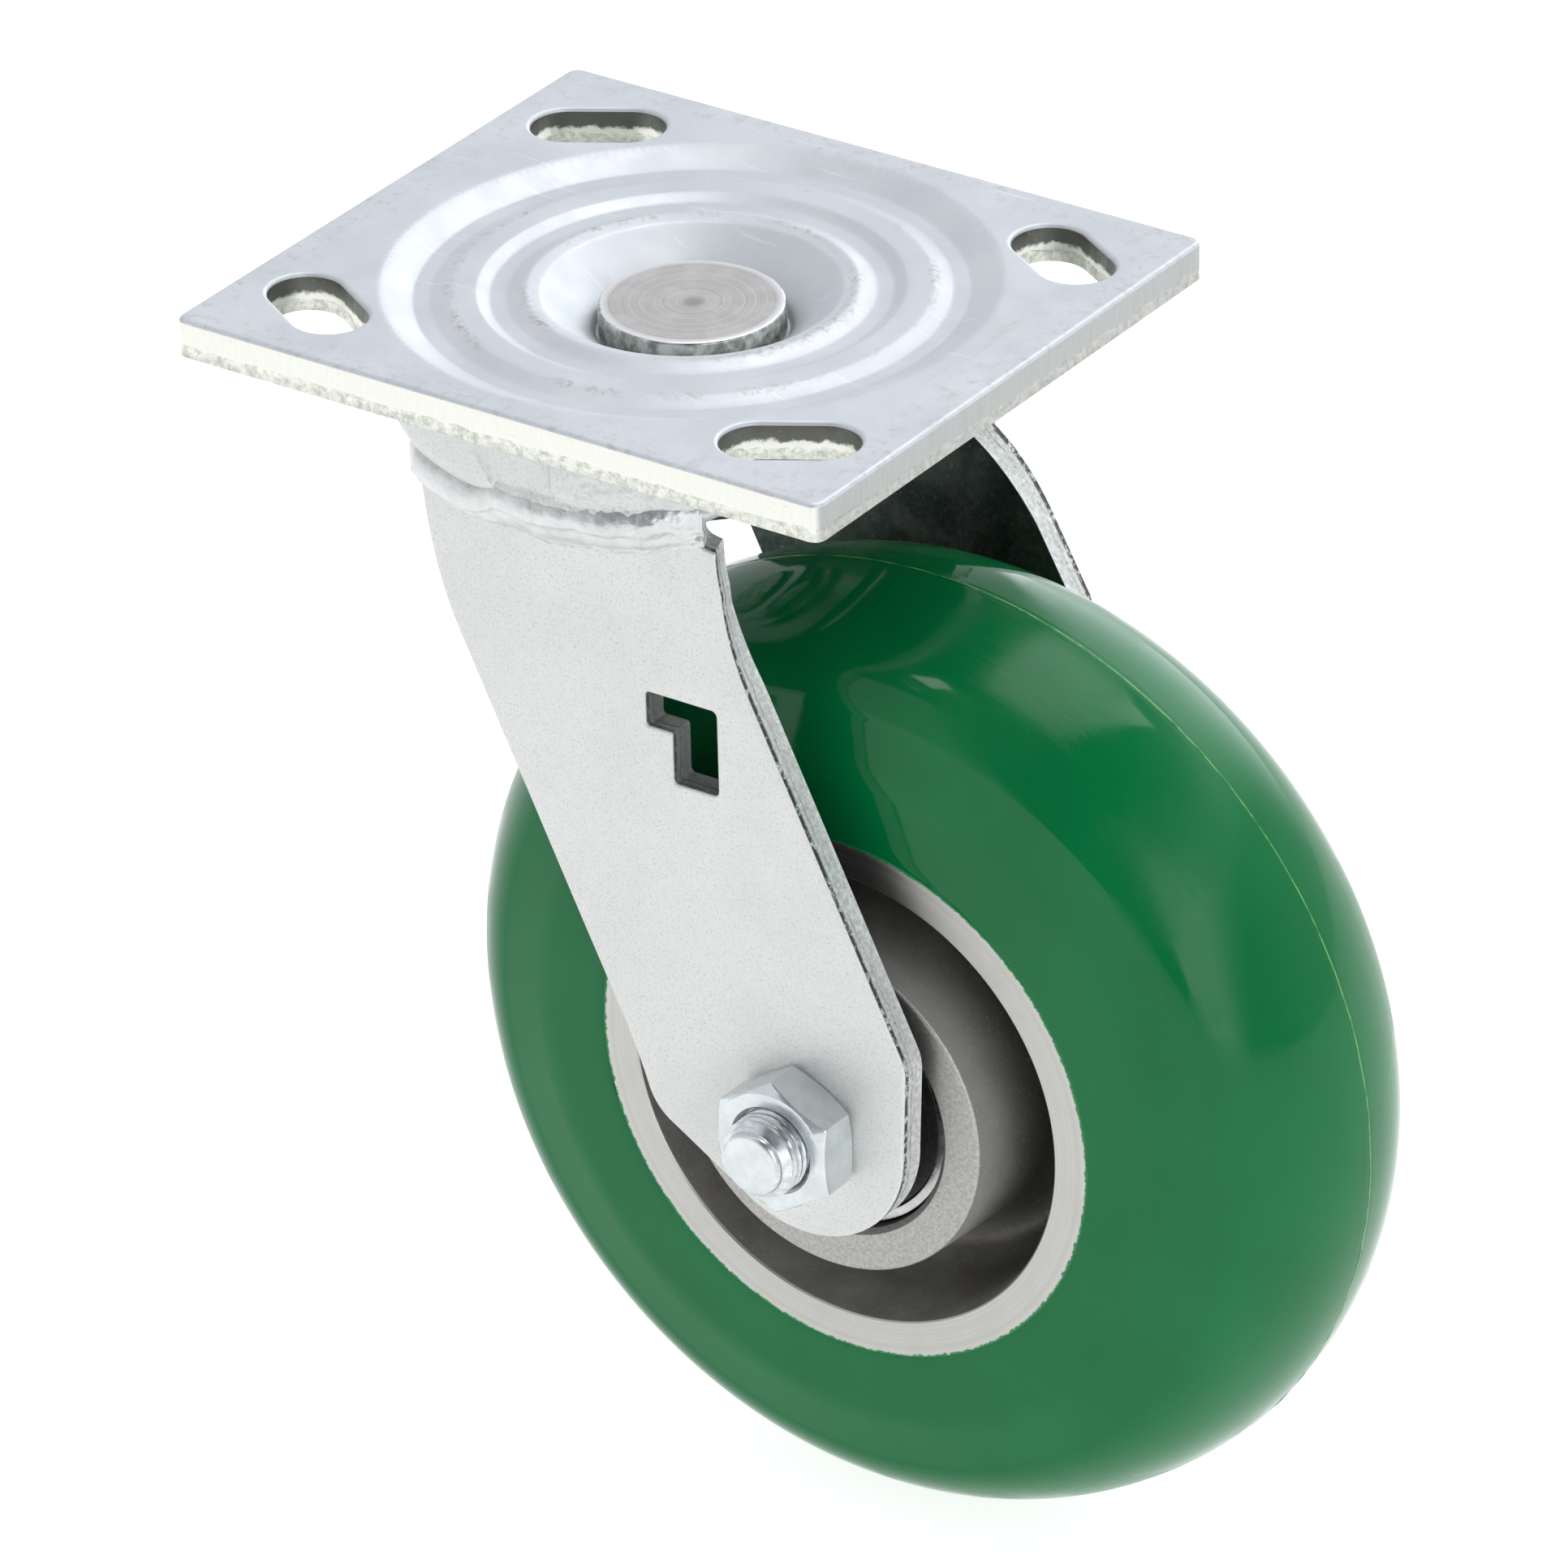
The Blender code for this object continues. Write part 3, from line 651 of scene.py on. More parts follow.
def rim_aluminium():
    """The machined side of the rim: pale, with the rings of the tool, and green where the tyre ran over."""
    s = Shader("aluminium_rim_face", (0.80, 0.78, 0.75), 1.0, 0.40)
    x, _, z = s.parts()
    distance = s.radial(x, z)
    tool = s.rings(distance, 1.3)
    tone = s.mix(s.ramp(tool, 0.35, 0.66), (0.465, 0.46, 0.435), (0.54, 0.54, 0.51))
    tone = s.over(tone, s.patches(0.25, 5.0, 0.65, 0.45, 0.7), 0.35, (0.46, 0.45, 0.42))
    tone = s.over(tone, s.patches(1.1, 6.0, 0.75, 0.61, 0.72), 0.6, (0.27, 0.26, 0.24))
    ragged = s.plus(distance, s.times(s.noise(0.9, 5.0, 0.75), 1.5))
    overflow = s.ramp(ragged, RIM_OUTER + 0.52, RIM_OUTER + 0.66)
    tone = s.mix(overflow, tone, (0.004, 0.20, 0.05))
    s.put(s.maths("SUBTRACT", 1.0, overflow), s.bsdf.inputs["Metallic"])
    height = s.plus(s.times(tool, 0.4), s.times(s.noise(2.2, 4.0, 0.7), 0.9))
    return s.made(tone, s.ramp(tool, 0.3, 0.7, 0.36, 0.44), height, 0.30, 0.05)


def urethane():
    """Glossy green polyurethane with faint scuffs that run round the tread, and its mould line."""
    s = Shader("green_urethane", (0.002, 0.170, 0.045), 0.0, 0.16)
    s.put(1.32, s.bsdf.inputs["IOR"])
    x, y, z = s.parts()
    distance = s.radial(x, z)
    tone = s.mix(s.patches(0.04, 3.0, 0.5, 0.35, 0.68), (0.0006, 0.136, 0.037), (0.0014, 0.152, 0.043))
    tone = s.over(tone, s.patches(1.7, 6.0, 0.8, 0.68, 0.75), 0.5, (0.004, 0.03, 0.012))
    seam = s.times(s.ramp(s.maths("ABSOLUTE", y), 0.20, 0.06), s.ramp(distance, 75.5, 76.2))
    broken = s.patches(0.30, 5.0, 0.65, 0.40, 0.58, 0.15, 1.0)
    tone = s.mix(s.times(seam, broken), tone, (0.16, 0.40, 0.11))
    scuffs = s.noise(1.6, 4.0, 0.65, s.node("CombineXYZ", "Vector", {"X": distance, "Y": y}))
    scuffed = s.times(scuffs, s.patches(0.035, 3.0, 0.5, 0.42, 0.62))
    gloss = s.plus(s.ramp(scuffed, 0.15, 0.5, 0.07, 0.26), s.patches(0.6, 4.0, 0.7, 0.5, 0.8, 0.0, 0.05))
    height = s.plus(s.times(scuffs, 0.35), s.times(s.noise(0.30, 3.0), 0.8))
    return s.made(tone, gloss, height, 0.10, 0.10)


def rubber():
    s = Shader("black_seal_rubber", (0.012, 0.012, 0.013), 0.0, 0.5)
    tone = s.mix(s.patches(0.9, 4.0, 0.6, 0.4, 0.7), (0.010, 0.010, 0.011), (0.022, 0.022, 0.023))
    return s.made(tone, s.patches(1.3, 4.0, 0.55, 0.3, 0.7, 0.42, 0.6), s.noise(2.0, 3.0), 0.25, 0.05)


# ---------------------------------------------------------------- top plate and swivel


def interpolated(profile):
    """A function of the radius from (r, z) points in order of r."""
    radii = np.array([r for r, _ in profile])
    heights = np.array([z for _, z in profile])
    return lambda r: float(np.interp(r, radii, heights))


def slot_loop(start, end, width):
    heading = math.degrees(math.atan2(end[1] - start[1], end[0] - start[0]))
    loop = arc(end, width / 2, heading - 90, heading + 90, 22)
    loop += arc(start, width / 2, heading + 90, heading + 270, 22)
    return subdivided(loop, 0.8)


def make_top_plate(materials):
    above = filleted(
        [
            (0.0, DISH_FLOOR, 0), (14.4, DISH_FLOOR, 0.3), (15.1, -7.2, 0.8), (22.4, -1.6, 1.6),
            (24.6, -1.05, 1.2), (27.4, -2.2, 1.4), (29.9, -2.2, 1.2), (31.9, -1.15, 0.8), (35.7, -1.15, 1.0),
            (38.6, -2.2, 1.6), (41.2, -2.2, 1.4), (46.0, 0.0, 1.6), (90.0, 0.0, 0),
        ],
        steps=7, closed=False,
    )
    below = filleted(
        [
            (0.0, DISH_FLOOR - PLATE_THICKNESS, 0), (17.4, DISH_FLOOR - PLATE_THICKNESS, 2.5),
            (25.6, -8.7, 2.5), (30.4, -8.7, 0.4), (31.2, -7.5, 2.0), (33.8, -6.9, 3.0), (36.4, -7.5, 2.0),
            (37.2, -8.7, 0.4), (41.6, -8.7, 2.5), (46.2, -PLATE_THICKNESS, 2.5), (90.0, -PLATE_THICKNESS, 0),
        ],
        steps=5, closed=False,
    )
    high, low = interpolated(above), interpolated(below)
    outline = subdivided(
        filleted(
            [
                (sx * PLATE_LENGTH / 2, sy * PLATE_WIDTH / 2, 1.9)
                for sx, sy in ((1, 1), (-1, 1), (-1, -1), (1, -1))
            ],
            steps=8,
        ),
        0.75,
    )
    holes = []
    for sx in (-1, 1):
        for sy in (-1, 1):
            start = (sx * SLOT_OUTER[0], sy * SLOT_OUTER[1])
            end = (sx * SLOT_INNER[0], sy * SLOT_INNER[1])
            holes.append(slot_loop(start, end, SLOT_WIDTH))
    holes.append(arc((0, 0), PIN_RADIUS + 0.3, 0, 357, 119))

    radii = {round(r, 2) for r, _ in above + below if 9.3 < r < 48.0}
    radii |= {round(r, 2) for r in np.arange(9.5, 48.0, 0.9)}
    circles = []
    last = 0.0
    for index, r in enumerate(sorted(radii)):
        if r - last < 0.16:
            continue
        last = r
        turn = math.pi / 200 * (index % 2)
        for step in range(200):
            angle = 2 * math.pi * step / 200 + turn
            circles.append(polar(r, angle))

    plate = stamped(
        "top_plate_pressed", outline, holes, circles, materials, lambda u, v: high(math.hypot(u, v)),
        lambda u, v: low(math.hypot(u, v)), lambda u, v, w: (u, v, w), roll=0.75, shear=0.66, rough=0.12,
    )
    settle(plate, "plate", "zinc_plate", "top_plate")


def make_kingpin(face, side):
    def shape(r, z, angle):
        if z > PIN_HEAD_TOP - 0.45 and 0.8 < r < 13.0:
            grooves = 0.02 * math.sin(r * 7.0) + 0.015 * math.sin(r * 17.0)
            return r, z + grooves + 0.03 * jitter(*polar(r, angle), 0, 5.0)
        if r > 13.4 and z > DISH_FLOOR:
            return r + 0.04 * jitter(*polar(9, angle), z, 2.0), z
        return r, z

    crown = [(0.05, PIN_HEAD_TOP - 0.12), (1.2, PIN_HEAD_TOP - 0.16), (1.7, PIN_HEAD_TOP)]
    crown += [(1.7 + 0.35 * step, PIN_HEAD_TOP) for step in range(1, 33)]
    edge = filleted(
        [
            (12.9, PIN_HEAD_TOP, 0), (PIN_HEAD_RADIUS, PIN_HEAD_TOP, 0.55),
            (PIN_HEAD_RADIUS, DISH_FLOOR + 0.1, 0.3), (PIN_RADIUS, DISH_FLOOR + 0.1, 0),
            (PIN_RADIUS, -34.8, 0.3), (PIN_RADIUS - 1.0, -35.4, 0.3), (1.0, -35.4, 0),
        ],
        steps=5, closed=False,
    )
    sides = subdivided(edge[1:], 1.2, closed=False)
    pin = turned(
        "kingpin_turned", crown + sides + [(0.05, -35.4)], [face, side], segments=160, closed=False,
        shape=shape, zone=lambda r, z: 0 if z > PIN_HEAD_TOP - 0.35 and r < 13.7 else 1,
    )
    settle(pin, "plate", "pin_steel", "kingpin")


def hexagon_loop(flats, turn):
    radius = flats / math.sqrt(3)
    corners = []
    for side in range(6):
        corners.append((*polar(radius, math.radians(turn + 60 * side)), 0.35))
    return subdivided(filleted(corners, steps=4), 0.55)


def hexagon_rows(loop, circle, levels, lean):
    """Rings of points round a hexagon, one for each (kind, value, z) level.

    A round level is a circle with the value as its radius. A side or cone level follows the hexagon, the
    value inside it. Past the chamfer's circle it leans up or down, as lean(z) says with 1, -1 or 0.
    """
    rows = []
    for kind, value, z in levels:
        ring = []
        for x, y in loop:
            reach = math.hypot(x, y)
            if kind == "round":
                ring.append((x * value / reach, y * value / reach, z))
                continue
            drop = max(0.0, reach - circle) * math.tan(math.radians(HEX_CHAMFER))
            share = (reach - value) / reach
            ring.append((x * share, y * share, z + lean(z) * drop))
        rows.append(ring)
    return rows


def make_nut(name, flats, turn, bore, low, high, material, thread_material, origin=(0, 0, 0), along="Z"):
    """A hexagon nut, both faces chamfered, with a countersunk thread."""
    loop = hexagon_loop(flats, turn)
    circle = flats / 2 - 0.35
    levels = [
        ("round", bore, low + 1.0), ("round", bore + 0.9, low), ("round", circle - 1.2, low),
        ("round", circle - 0.12, low), ("round", circle + 0.12, low + 0.06), ("cone", 0.16, low),
        ("side", 0.0, low + 0.22), ("side", 0.0, high - 0.22), ("cone", 0.16, high),
        ("round", circle + 0.12, high - 0.06), ("round", circle - 0.12, high), ("round", circle - 1.2, high),
        ("round", bore + 0.9, high), ("round", bore, high - 1.0),
    ]
    rows = hexagon_rows(loop, circle, levels, lambda z: 1 if z < (low + high) / 2 else -1)
    columns = len(loop)
    verts = [point for ring in rows for point in ring]
    faces = grid_faces(len(rows), columns, True, True)
    threaded = (0, len(rows) - 2, len(rows) - 1)
    zones = [1 if index // columns in threaded else 0 for index in range(len(faces))]
    materials = [material, thread_material]
    return mesh_object(name, laid(verts, along, origin), faces, materials, zones, origin, crease=24)


def make_lower_bearing(race, bright, dark):
    top = DISH_FLOOR - PLATE_THICKNESS - 0.2
    profile = filleted(
        [
            (8.3, top, 0), (14.0, top, 0.5), (14.0, -19.6, 0.6), (16.4, -20.6, 0.3), (17.4, -24.6, 1.6),
            (20.2, -26.1, 2.4), (23.2, -24.6, 1.0), (25.4, -24.4, 0.7), (25.4, -27.2, 1.2),
            (23.0, -28.3, 0.8), (8.3, -28.3, 0),
        ],
        steps=5,
    )
    cup = turned("lower_race_cup_turned", profile, [race], segments=144)
    settle(cup, "plate", "race_steel", "lower_race_cup")
    washer = filleted([(8.3, -28.4, 0), (15.5, -28.4, 0.35), (15.5, -30.6, 0.35), (8.3, -30.6, 0)], steps=4)
    washer = turned("kingpin_washer_flat", washer, [bright], segments=128)
    settle(washer, "plate", "zinc_bright", "kingpin_washer")
    nut = make_nut("kingpin_nut_hex", 24.0, 0.0, PIN_RADIUS + 0.1, -34.4, -30.7, bright, dark)
    settle(nut, "plate", "zinc_bright", "kingpin_nut")


def make_balls(name, pitch, radius, count, material, body, node, centre, along="Z"):
    """A row of balls. Each is a small latitude grid of its own."""
    verts, faces = [], []
    rings_count, sides = 11, 20
    for index in range(count):
        around = 2 * math.pi * index / count
        middle = (pitch * math.cos(around), pitch * math.sin(around), 0.0)
        first = len(verts)
        for ring in range(1, rings_count):
            polar = math.pi * ring / rings_count
            for side in range(sides):
                turn = 2 * math.pi * side / sides
                out, up = radius * math.sin(polar), radius * math.cos(polar)
                verts.append((middle[0] + out * math.cos(turn), middle[1] + out * math.sin(turn), up))
        faces += [tuple(first + v for v in face) for face in grid_faces(rings_count - 1, sides, False, True)]
        for row, z, flip in ((0, radius, True), (rings_count - 2, -radius, False)):
            pole = len(verts)
            verts.append((middle[0], middle[1], z))
            for side in range(sides):
                a, b = first + row * sides + side, first + row * sides + (side + 1) % sides
                faces.append((pole, b, a) if flip else (pole, a, b))
    balls = mesh_object(name, laid(verts, along, centre), faces, [material], None, centre, crease=60)
    settle(balls, body, "ball_steel", node)


# ---------------------------------------------------------------- fork


def panel_depth(x, z):
    """How far each side of the yoke base is pressed in: a flat panel between two pads."""
    below = min(1.0, max(0.0, (z + 16.9) / 1.5))
    depth = 0.7 * below if -4.5 < x < 5.0 else 0.0
    # The pad in front of the panel slopes away to a corner.
    slope_start = -4.5 - 4.6 * min(1.0, max(0.0, (z + 16.4) / 5.5))
    if slope_start < x <= -4.5:
        depth = 0.6 * (x - slope_start) / (-4.5 - slope_start + 1e-6)
    # The pad behind the panel has a round lower corner and a groove below it.
    if x >= 5.0:
        corner = math.hypot(min(0.0, x - 7.2), min(0.0, z + 13.6))
        depth = 0.7 * below * min(1.0, max(0.0, (corner - 1.4) / 0.9))
        depth = max(depth, 0.3 * math.exp(-(((z + 16.3) / 0.4) ** 2)) * min(1.0, (x - 5.0) / 2))
    return depth


def make_yoke_base(materials):
    profile = filleted(
        [
            (21.5, -13.0, 0.5), (30.2, -12.9, 0.3), (31.4, -14.4, 2.0), (33.8, -15.4, 2.6),
            (36.2, -14.4, 2.0), (37.4, -12.9, 0.3), (42.2, -12.9, 0.6), (42.2, -9.3, 0.5), (45.0, -9.3, 0.7),
            (45.0, -20.5, 4.7), (22.2, -20.5, 0.8), (21.5, -19.0, 0.5),
        ],
        steps=7,
    )
    dense = []
    for (r0, z0), (r1, z1) in zip(profile, profile[1:] + profile[:1]):
        count = max(1, math.ceil(math.hypot(r1 - r0, z1 - z0) / (0.34 if min(r0, r1) > 44 else 2.0)))
        for step in range(count):
            t = step / count
            dense.append((r0 + (r1 - r0) * t, z0 + (z1 - z0) * t))

    angles = {2 * math.pi * step / 420 for step in range(420)}
    for sign in (-1, 1):
        for x in (-4.6, -4.45, 4.9, 5.05):
            angles.add(math.atan2(sign * math.sqrt(BASE_RADIUS**2 - x * x), x) % (2 * math.pi))
        for step in range(90):
            x = -10.0 + 30.0 * step / 89
            angles.add(math.atan2(sign * math.sqrt(BASE_RADIUS**2 - x * x), x) % (2 * math.pi))
    angles = sorted(angles)

    verts = []
    for r, z in dense:
        for angle in angles:
            x, y = polar(r, angle)
            if r > 44.0 and z > -19.0:
                reach = 0.10 * jitter(x, y, z, 4.5, 3) + 0.05 * jitter(x, y, z, 0.9)
                if abs(y) > 34 and x > 6:
                    reach += min(1.0, (x - 6) / 6) * 0.22 * jitter(x, y, z, 1.3, 3)
                if abs(y) > 30:
                    reach -= panel_depth(x, z)
                x, y = x * (1 + reach / r), y * (1 + reach / r)
            # Between the legs, on the wheel's side, the ring is thinner.
            gap = min(1.0, max(0.0, (0.99 - min(angle, 2 * math.pi - angle)) / 0.16))
            lowered = z if z > -12.9 else -12.9 + (z + 12.9) * (1 - 0.48 * gap)
            verts.append((x, y, lowered))
    faces = grid_faces(len(dense), len(angles), True, True)
    # Faces on the underside of the ring get zinc darkened as painted shade.
    zones = [1 if dense[index // len(angles)][1] < -20.3 else 0 for index in range(len(faces))]
    base = mesh_object("yoke_base_ring", verts, faces, materials, zones, crease=30)
    settle(base, "fork", "zinc_leg", "yoke_base")


def leg_loop(side):
    """The leg seen along Y, as (x, z). The right leg is broader below its top."""
    axle = (AXLE[0], AXLE[2])
    loop = [(-24.4, -18.6), (24.6, -18.6), (25.2, -19.6), (25.6, -20.6)]
    loop += bezier((25.6, -20.6), (26.2, -21.6), (27.4, -21.7), 5)
    loop += bezier((28.2, -21.7), (28.7, -21.9), (28.7, -22.5), 3)
    loop += bezier((28.7, -22.5), (28.6, -25.0), (29.5, -29.0), 8)
    if side == "left":
        loop += bezier((29.5, -29.0), (30.2, -37.2), (34.0, -45.0), 22)
    else:
        loop.append((29.3, -31.8))
        loop += bezier((29.3, -31.8), (35.4, -36.1), (39.6, -44.2), 16)
        loop.append((46.0, -56.0))
    loop += bezier((59.2, -96.8), (60.1, -98.6), (60.0, -100.6), 6)
    loop += arc(axle, 18.1, 0, -122, 44)
    loop += bezier((17.9, -120.7), (14.9, -118.9), (13.7, -115.6), 8)
    loop += bezier((13.7, -115.6), (11.8, -109.8), (8.9, -103.8), 10)
    loop += bezier((-17.8, -48.4), (-22.8, -38.4), (-24.1, -24.0), 24)
    return subdivided(loop, 0.9)


def make_legs(materials):
    brake_slot = filleted(
        [
            (15.3, -48.2, 0.7), (15.3, -53.9, 0.6), (20.0, -53.9, 0.5), (20.0, -62.3, 0.8),
            (28.0, -62.3, 0.9), (28.0, -48.2, 0.9),
        ],
        steps=4,
    )
    hole = arc((AXLE[0], AXLE[2]), AXLE_RADIUS + 0.2, 0, 354, 59)
    for side, name in ((-1, "left"), (1, "right")):

        def place(u, v, w, side=side):
            # The front edge leans back near the top of the leg.
            lean = 1.7 * min(1.0, max(0.0, (v + 44.0) / 12.0)) * min(1.0, max(0.0, (u - 14.0) / 12.0))
            return (u - lean * (1 - w / (LEG_OUTER - LEG_INNER)), side * (LEG_INNER + w), v)

        def top(u, v):
            wave = 0.05 * jitter(u, v, 7.0, 14.0)
            swell = 0.10 * math.exp(-((u - 6) ** 2 + (v + 20) ** 2) / 160)
            return LEG_OUTER - LEG_INNER + wave + swell

        inner = []
        for x in np.arange(-22.0, 60.0, 4.0):
            for z in np.arange(-130.0, -22.0, 4.0):
                inner.append((x + 1.3 * math.sin(z), z + 1.1 * math.sin(1.7 * x)))
        loop = leg_loop(name)
        holes = [subdivided(brake_slot, 0.8), hole] if name == "left" else [hole]
        edges = np.array(loop + [point for cut in holes for point in cut])
        roomy = [point for point in inner if np.min(np.linalg.norm(edges - point, axis=1)) > 1.6]
        leg = stamped(
            "fork_leg_pressed_" + name, loop, holes, roomy, materials, top, lambda u, v: 0.0, place,
            roll=0.45, shear=0.42, rough=0.10,
        )
        settle(leg, "fork", "zinc_leg", "fork_leg_" + name)


def weld_toe(x):
    """Height of the lower edge of the rolled band on the leg."""
    return -27.8 + 0.0082 * (x + 2.0) ** 2


def band_top(x):
    """Height of the crease between the yoke base's pads and the band."""
    places, heights = (-26, -9, -5, 6, 18, 22, 27), (-18.3, -17.9, -16.2, -16.5, -16.3, -15.2, -15.4)
    return float(np.interp(x, places, heights))


def smoothed(points, steps):
    """A Catmull-Rom curve through 2-D points."""
    points = [np.array(point, float) for point in points]
    padded = [2 * points[0] - points[1], *points, 2 * points[-1] - points[-2]]
    curve = []
    for index in range(len(points) - 1):
        a, b, c, d = padded[index : index + 4]
        for step in range(steps):
            t = step / steps
            bend, twist = 2 * a - 5 * b + 4 * c - d, 3 * b - a - 3 * c + d
            curve.append(0.5 * (2 * b + (c - a) * t + bend * t * t + twist * t**3))
    curve.append(points[-1])
    return curve


def make_bands(material):
    """The rolled band between the yoke base and each leg, and the thin rough bead along its toe."""
    columns = 300
    for side, name in ((-1, "left"), (1, "right")):
        verts = []
        for column in range(columns):
            x = -25.9 + 52.5 * column / (columns - 1)
            end_round = math.sqrt(min(1.0, max(0.0, (x + 25.9) / 2.2), max(0.0, (26.6 - x) / 2.6)))
            out = math.sqrt(BASE_RADIUS**2 - min(abs(x), 26.2) ** 2)
            reach = out - LEG_OUTER
            top, toe = band_top(x), weld_toe(x)
            fall = toe - (top - 4.9)
            section = [
                (out - 1.3, top + 1.0), (out - 0.55, top + 0.15), (out + 0.10, top - 0.75),
                (out + 0.50, top - 2.0), (out + 0.38, top - 3.3), (LEG_OUTER + 0.93 * reach, top - 4.5),
                (LEG_OUTER + 0.66 * reach + 0.1, top - 4.9 + 0.34 * fall),
                (LEG_OUTER + 0.34 * reach + 0.1, top - 4.9 + 0.66 * fall),
                (LEG_OUTER + 0.14 * reach + 0.25, toe + 1.0), (LEG_OUTER + 0.22, toe + 0.1),
                (LEG_OUTER - 0.25, toe - 0.35),
            ]
            curve = smoothed(section, 6)
            rows = len(curve)
            for row, (y, z) in enumerate(curve):
                t = row / (rows - 1)
                swell = math.sin(math.pi * min(1.0, max(0.0, t))) ** 0.6
                bump = 0.34 * jitter(x, 5 * t, side, 6.0, 2) + 0.14 * jitter(x, 12 * t, side, 2.2, 2)
                bump += 0.30 * jitter(x, 14 * t, side, 1.3, 2) * max(0.0, (x - 13) / 10)
                # A crease under the roll and another above the rough bead.
                bump -= 0.24 * math.exp(-(((t - 0.50 - 0.05 * jitter(x, 0, side, 6.0)) / 0.05) ** 2))
                bump -= 0.55 * math.exp(-(((t - 0.79) / 0.04) ** 2))
                if t > 0.78:
                    bump += 0.50 * jitter(x, 10 * t, side * 3, 1.5, 3)
                    z += 0.7 * jitter(x, 0, side * 5, 2.0, 3) * (t - 0.78) / 0.22
                y += bump * swell
                z -= 0.5 * bump * swell
                y = LEG_OUTER - 0.3 + (y - LEG_OUTER + 0.3) * (0.25 + 0.75 * end_round)
                verts.append((x, side * y, z))
            verts.append((x, side * (LEG_OUTER - 1.0), toe + 0.6))
            verts.append((x, side * (LEG_OUTER - 1.0), top + 1.0))
        width = rows + 2
        faces = grid_faces(columns, width, False, True)
        faces.append(tuple(range(width)))
        faces.append(tuple((columns - 1) * width + index for index in reversed(range(width))))
        band = mesh_object("leg_weld_bead_" + name, verts, faces, [material], crease=55)
        settle(band, "fork", "weld_metal", "leg_weld_" + name)


# ---------------------------------------------------------------- axle


def make_axle(bright, thread):
    """The bolt: a hexagon head on the right, a plain shank and a rolled thread with a domed end."""
    columns = 96
    thread_from = -30.0
    rows = []
    heights = list(np.arange(BOLT_END, -34.0, 0.13)) + [-33.0, -30.0, 0.0, 30.0, LEG_OUTER + 0.1]
    for height in heights:
        along = height - BOLT_END
        limit = AXLE_RADIUS
        if along < 1.0:
            limit = 4.55 + 0.55 * math.sqrt(max(0.0, 1 - (1 - along / 1.0) ** 2))
        elif along < 2.1:
            limit = 5.1 + (AXLE_RADIUS - 5.1) * (along - 1.0) / 1.1
        ring = []
        for column in range(columns):
            angle = 2 * math.pi * column / columns
            radius = limit
            if height < -34.5:
                phase = ((height - thread_from) / THREAD_PITCH + column / columns) % 1.0
                ridge = min(1.0, 1.35 * abs(2 * phase - 1))
                worn = 0.05 * jitter(*polar(6, angle), height, 1.5)
                radius = min(limit, AXLE_RADIUS - 0.78 * (1 - ridge) + worn)
            ring.append((*polar(radius, angle), height))
        rows.append(ring)

    loop = hexagon_loop(HEX_FLATS, 12.0)
    verts = [point for ring in rows for point in ring]
    faces = grid_faces(len(rows), columns, False, True)
    zones = [1 if index // columns < len(rows) - 5 else 0 for index in range(len(faces))]
    # The end face: a flat disc that rises a little towards a shallow dimple.
    inner = 0
    for radius, rise in ((4.2, -0.10), (3.2, -0.16), (1.6, -0.20)):
        first = len(verts)
        for column in range(columns):
            x, y = polar(radius, 2 * math.pi * column / columns)
            verts.append((x, y, BOLT_END + rise + 0.03 * jitter(x, y, 1, 1.2)))
        for column in range(columns):
            after = (column + 1) % columns
            faces.append((inner + column, first + column, first + after, inner + after))
            zones.append(0)
        inner = first
    faces.append(tuple(inner + column for column in range(columns)))
    zones.append(0)
    last = (len(rows) - 1) * columns
    faces.append(tuple(last + column for column in reversed(range(columns))))
    zones.append(0)

    head_low, head_high = LEG_OUTER + 0.05, LEG_OUTER + 8.2
    circle = HEX_FLATS / 2 - 0.35
    levels = [
        ("round", 5.0, head_low), ("round", circle - 0.1, head_low), ("round", circle, head_low + 0.35),
        ("side", 0.0, head_low + 0.45), ("side", 0.0, head_high - 0.25), ("cone", 0.16, head_high),
        ("round", circle + 0.1, head_high - 0.06), ("round", circle - 0.15, head_high),
        ("round", 6.0, head_high), ("round", 5.6, head_high - 0.12), ("round", 2.0, head_high - 0.15),
    ]
    head_rows = hexagon_rows(loop, circle, levels, lambda z: -1 if z > head_low + 2 else 0)
    first = len(verts)
    wide = len(loop)
    verts += [point for ring in head_rows for point in ring]
    head_faces = grid_faces(len(head_rows), wide, False, True)
    faces += [tuple(first + index for index in face) for face in head_faces]
    faces.append(tuple(first + index for index in range(wide)))
    faces.append(tuple(first + (len(head_rows) - 1) * wide + index for index in reversed(range(wide))))
    zones += [0] * (len(head_faces) + 2)

    points = laid(verts, "Y", AXLE)
    bolt = mesh_object("axle_bolt_threaded", points, faces, [bright, thread], zones, AXLE, crease=26)
    settle(bolt, "fork", "zinc_bright", "axle_bolt")

    bore, near = AXLE_RADIUS - 0.1, -LEG_OUTER - 0.1
    nut = make_nut("axle_nut_hex", HEX_FLATS, 29.0, bore, -44.4, near, bright, thread, AXLE, "Y")
    settle(nut, "fork", "zinc_bright", "axle_nut")


def make_bushing(material):
    profile = filleted([(6.6, -31.3, 0.3), (8.5, -31.3, 0.3), (8.5, 31.3, 0.3), (6.6, 31.3, 0.3)], steps=3)
    bushing = turned("spanner_bushing_tube", profile, [material], segments=96, origin=AXLE, along="Y")
    settle(bushing, "fork", "race_steel", "spanner_bushing")


# ---------------------------------------------------------------- wheel


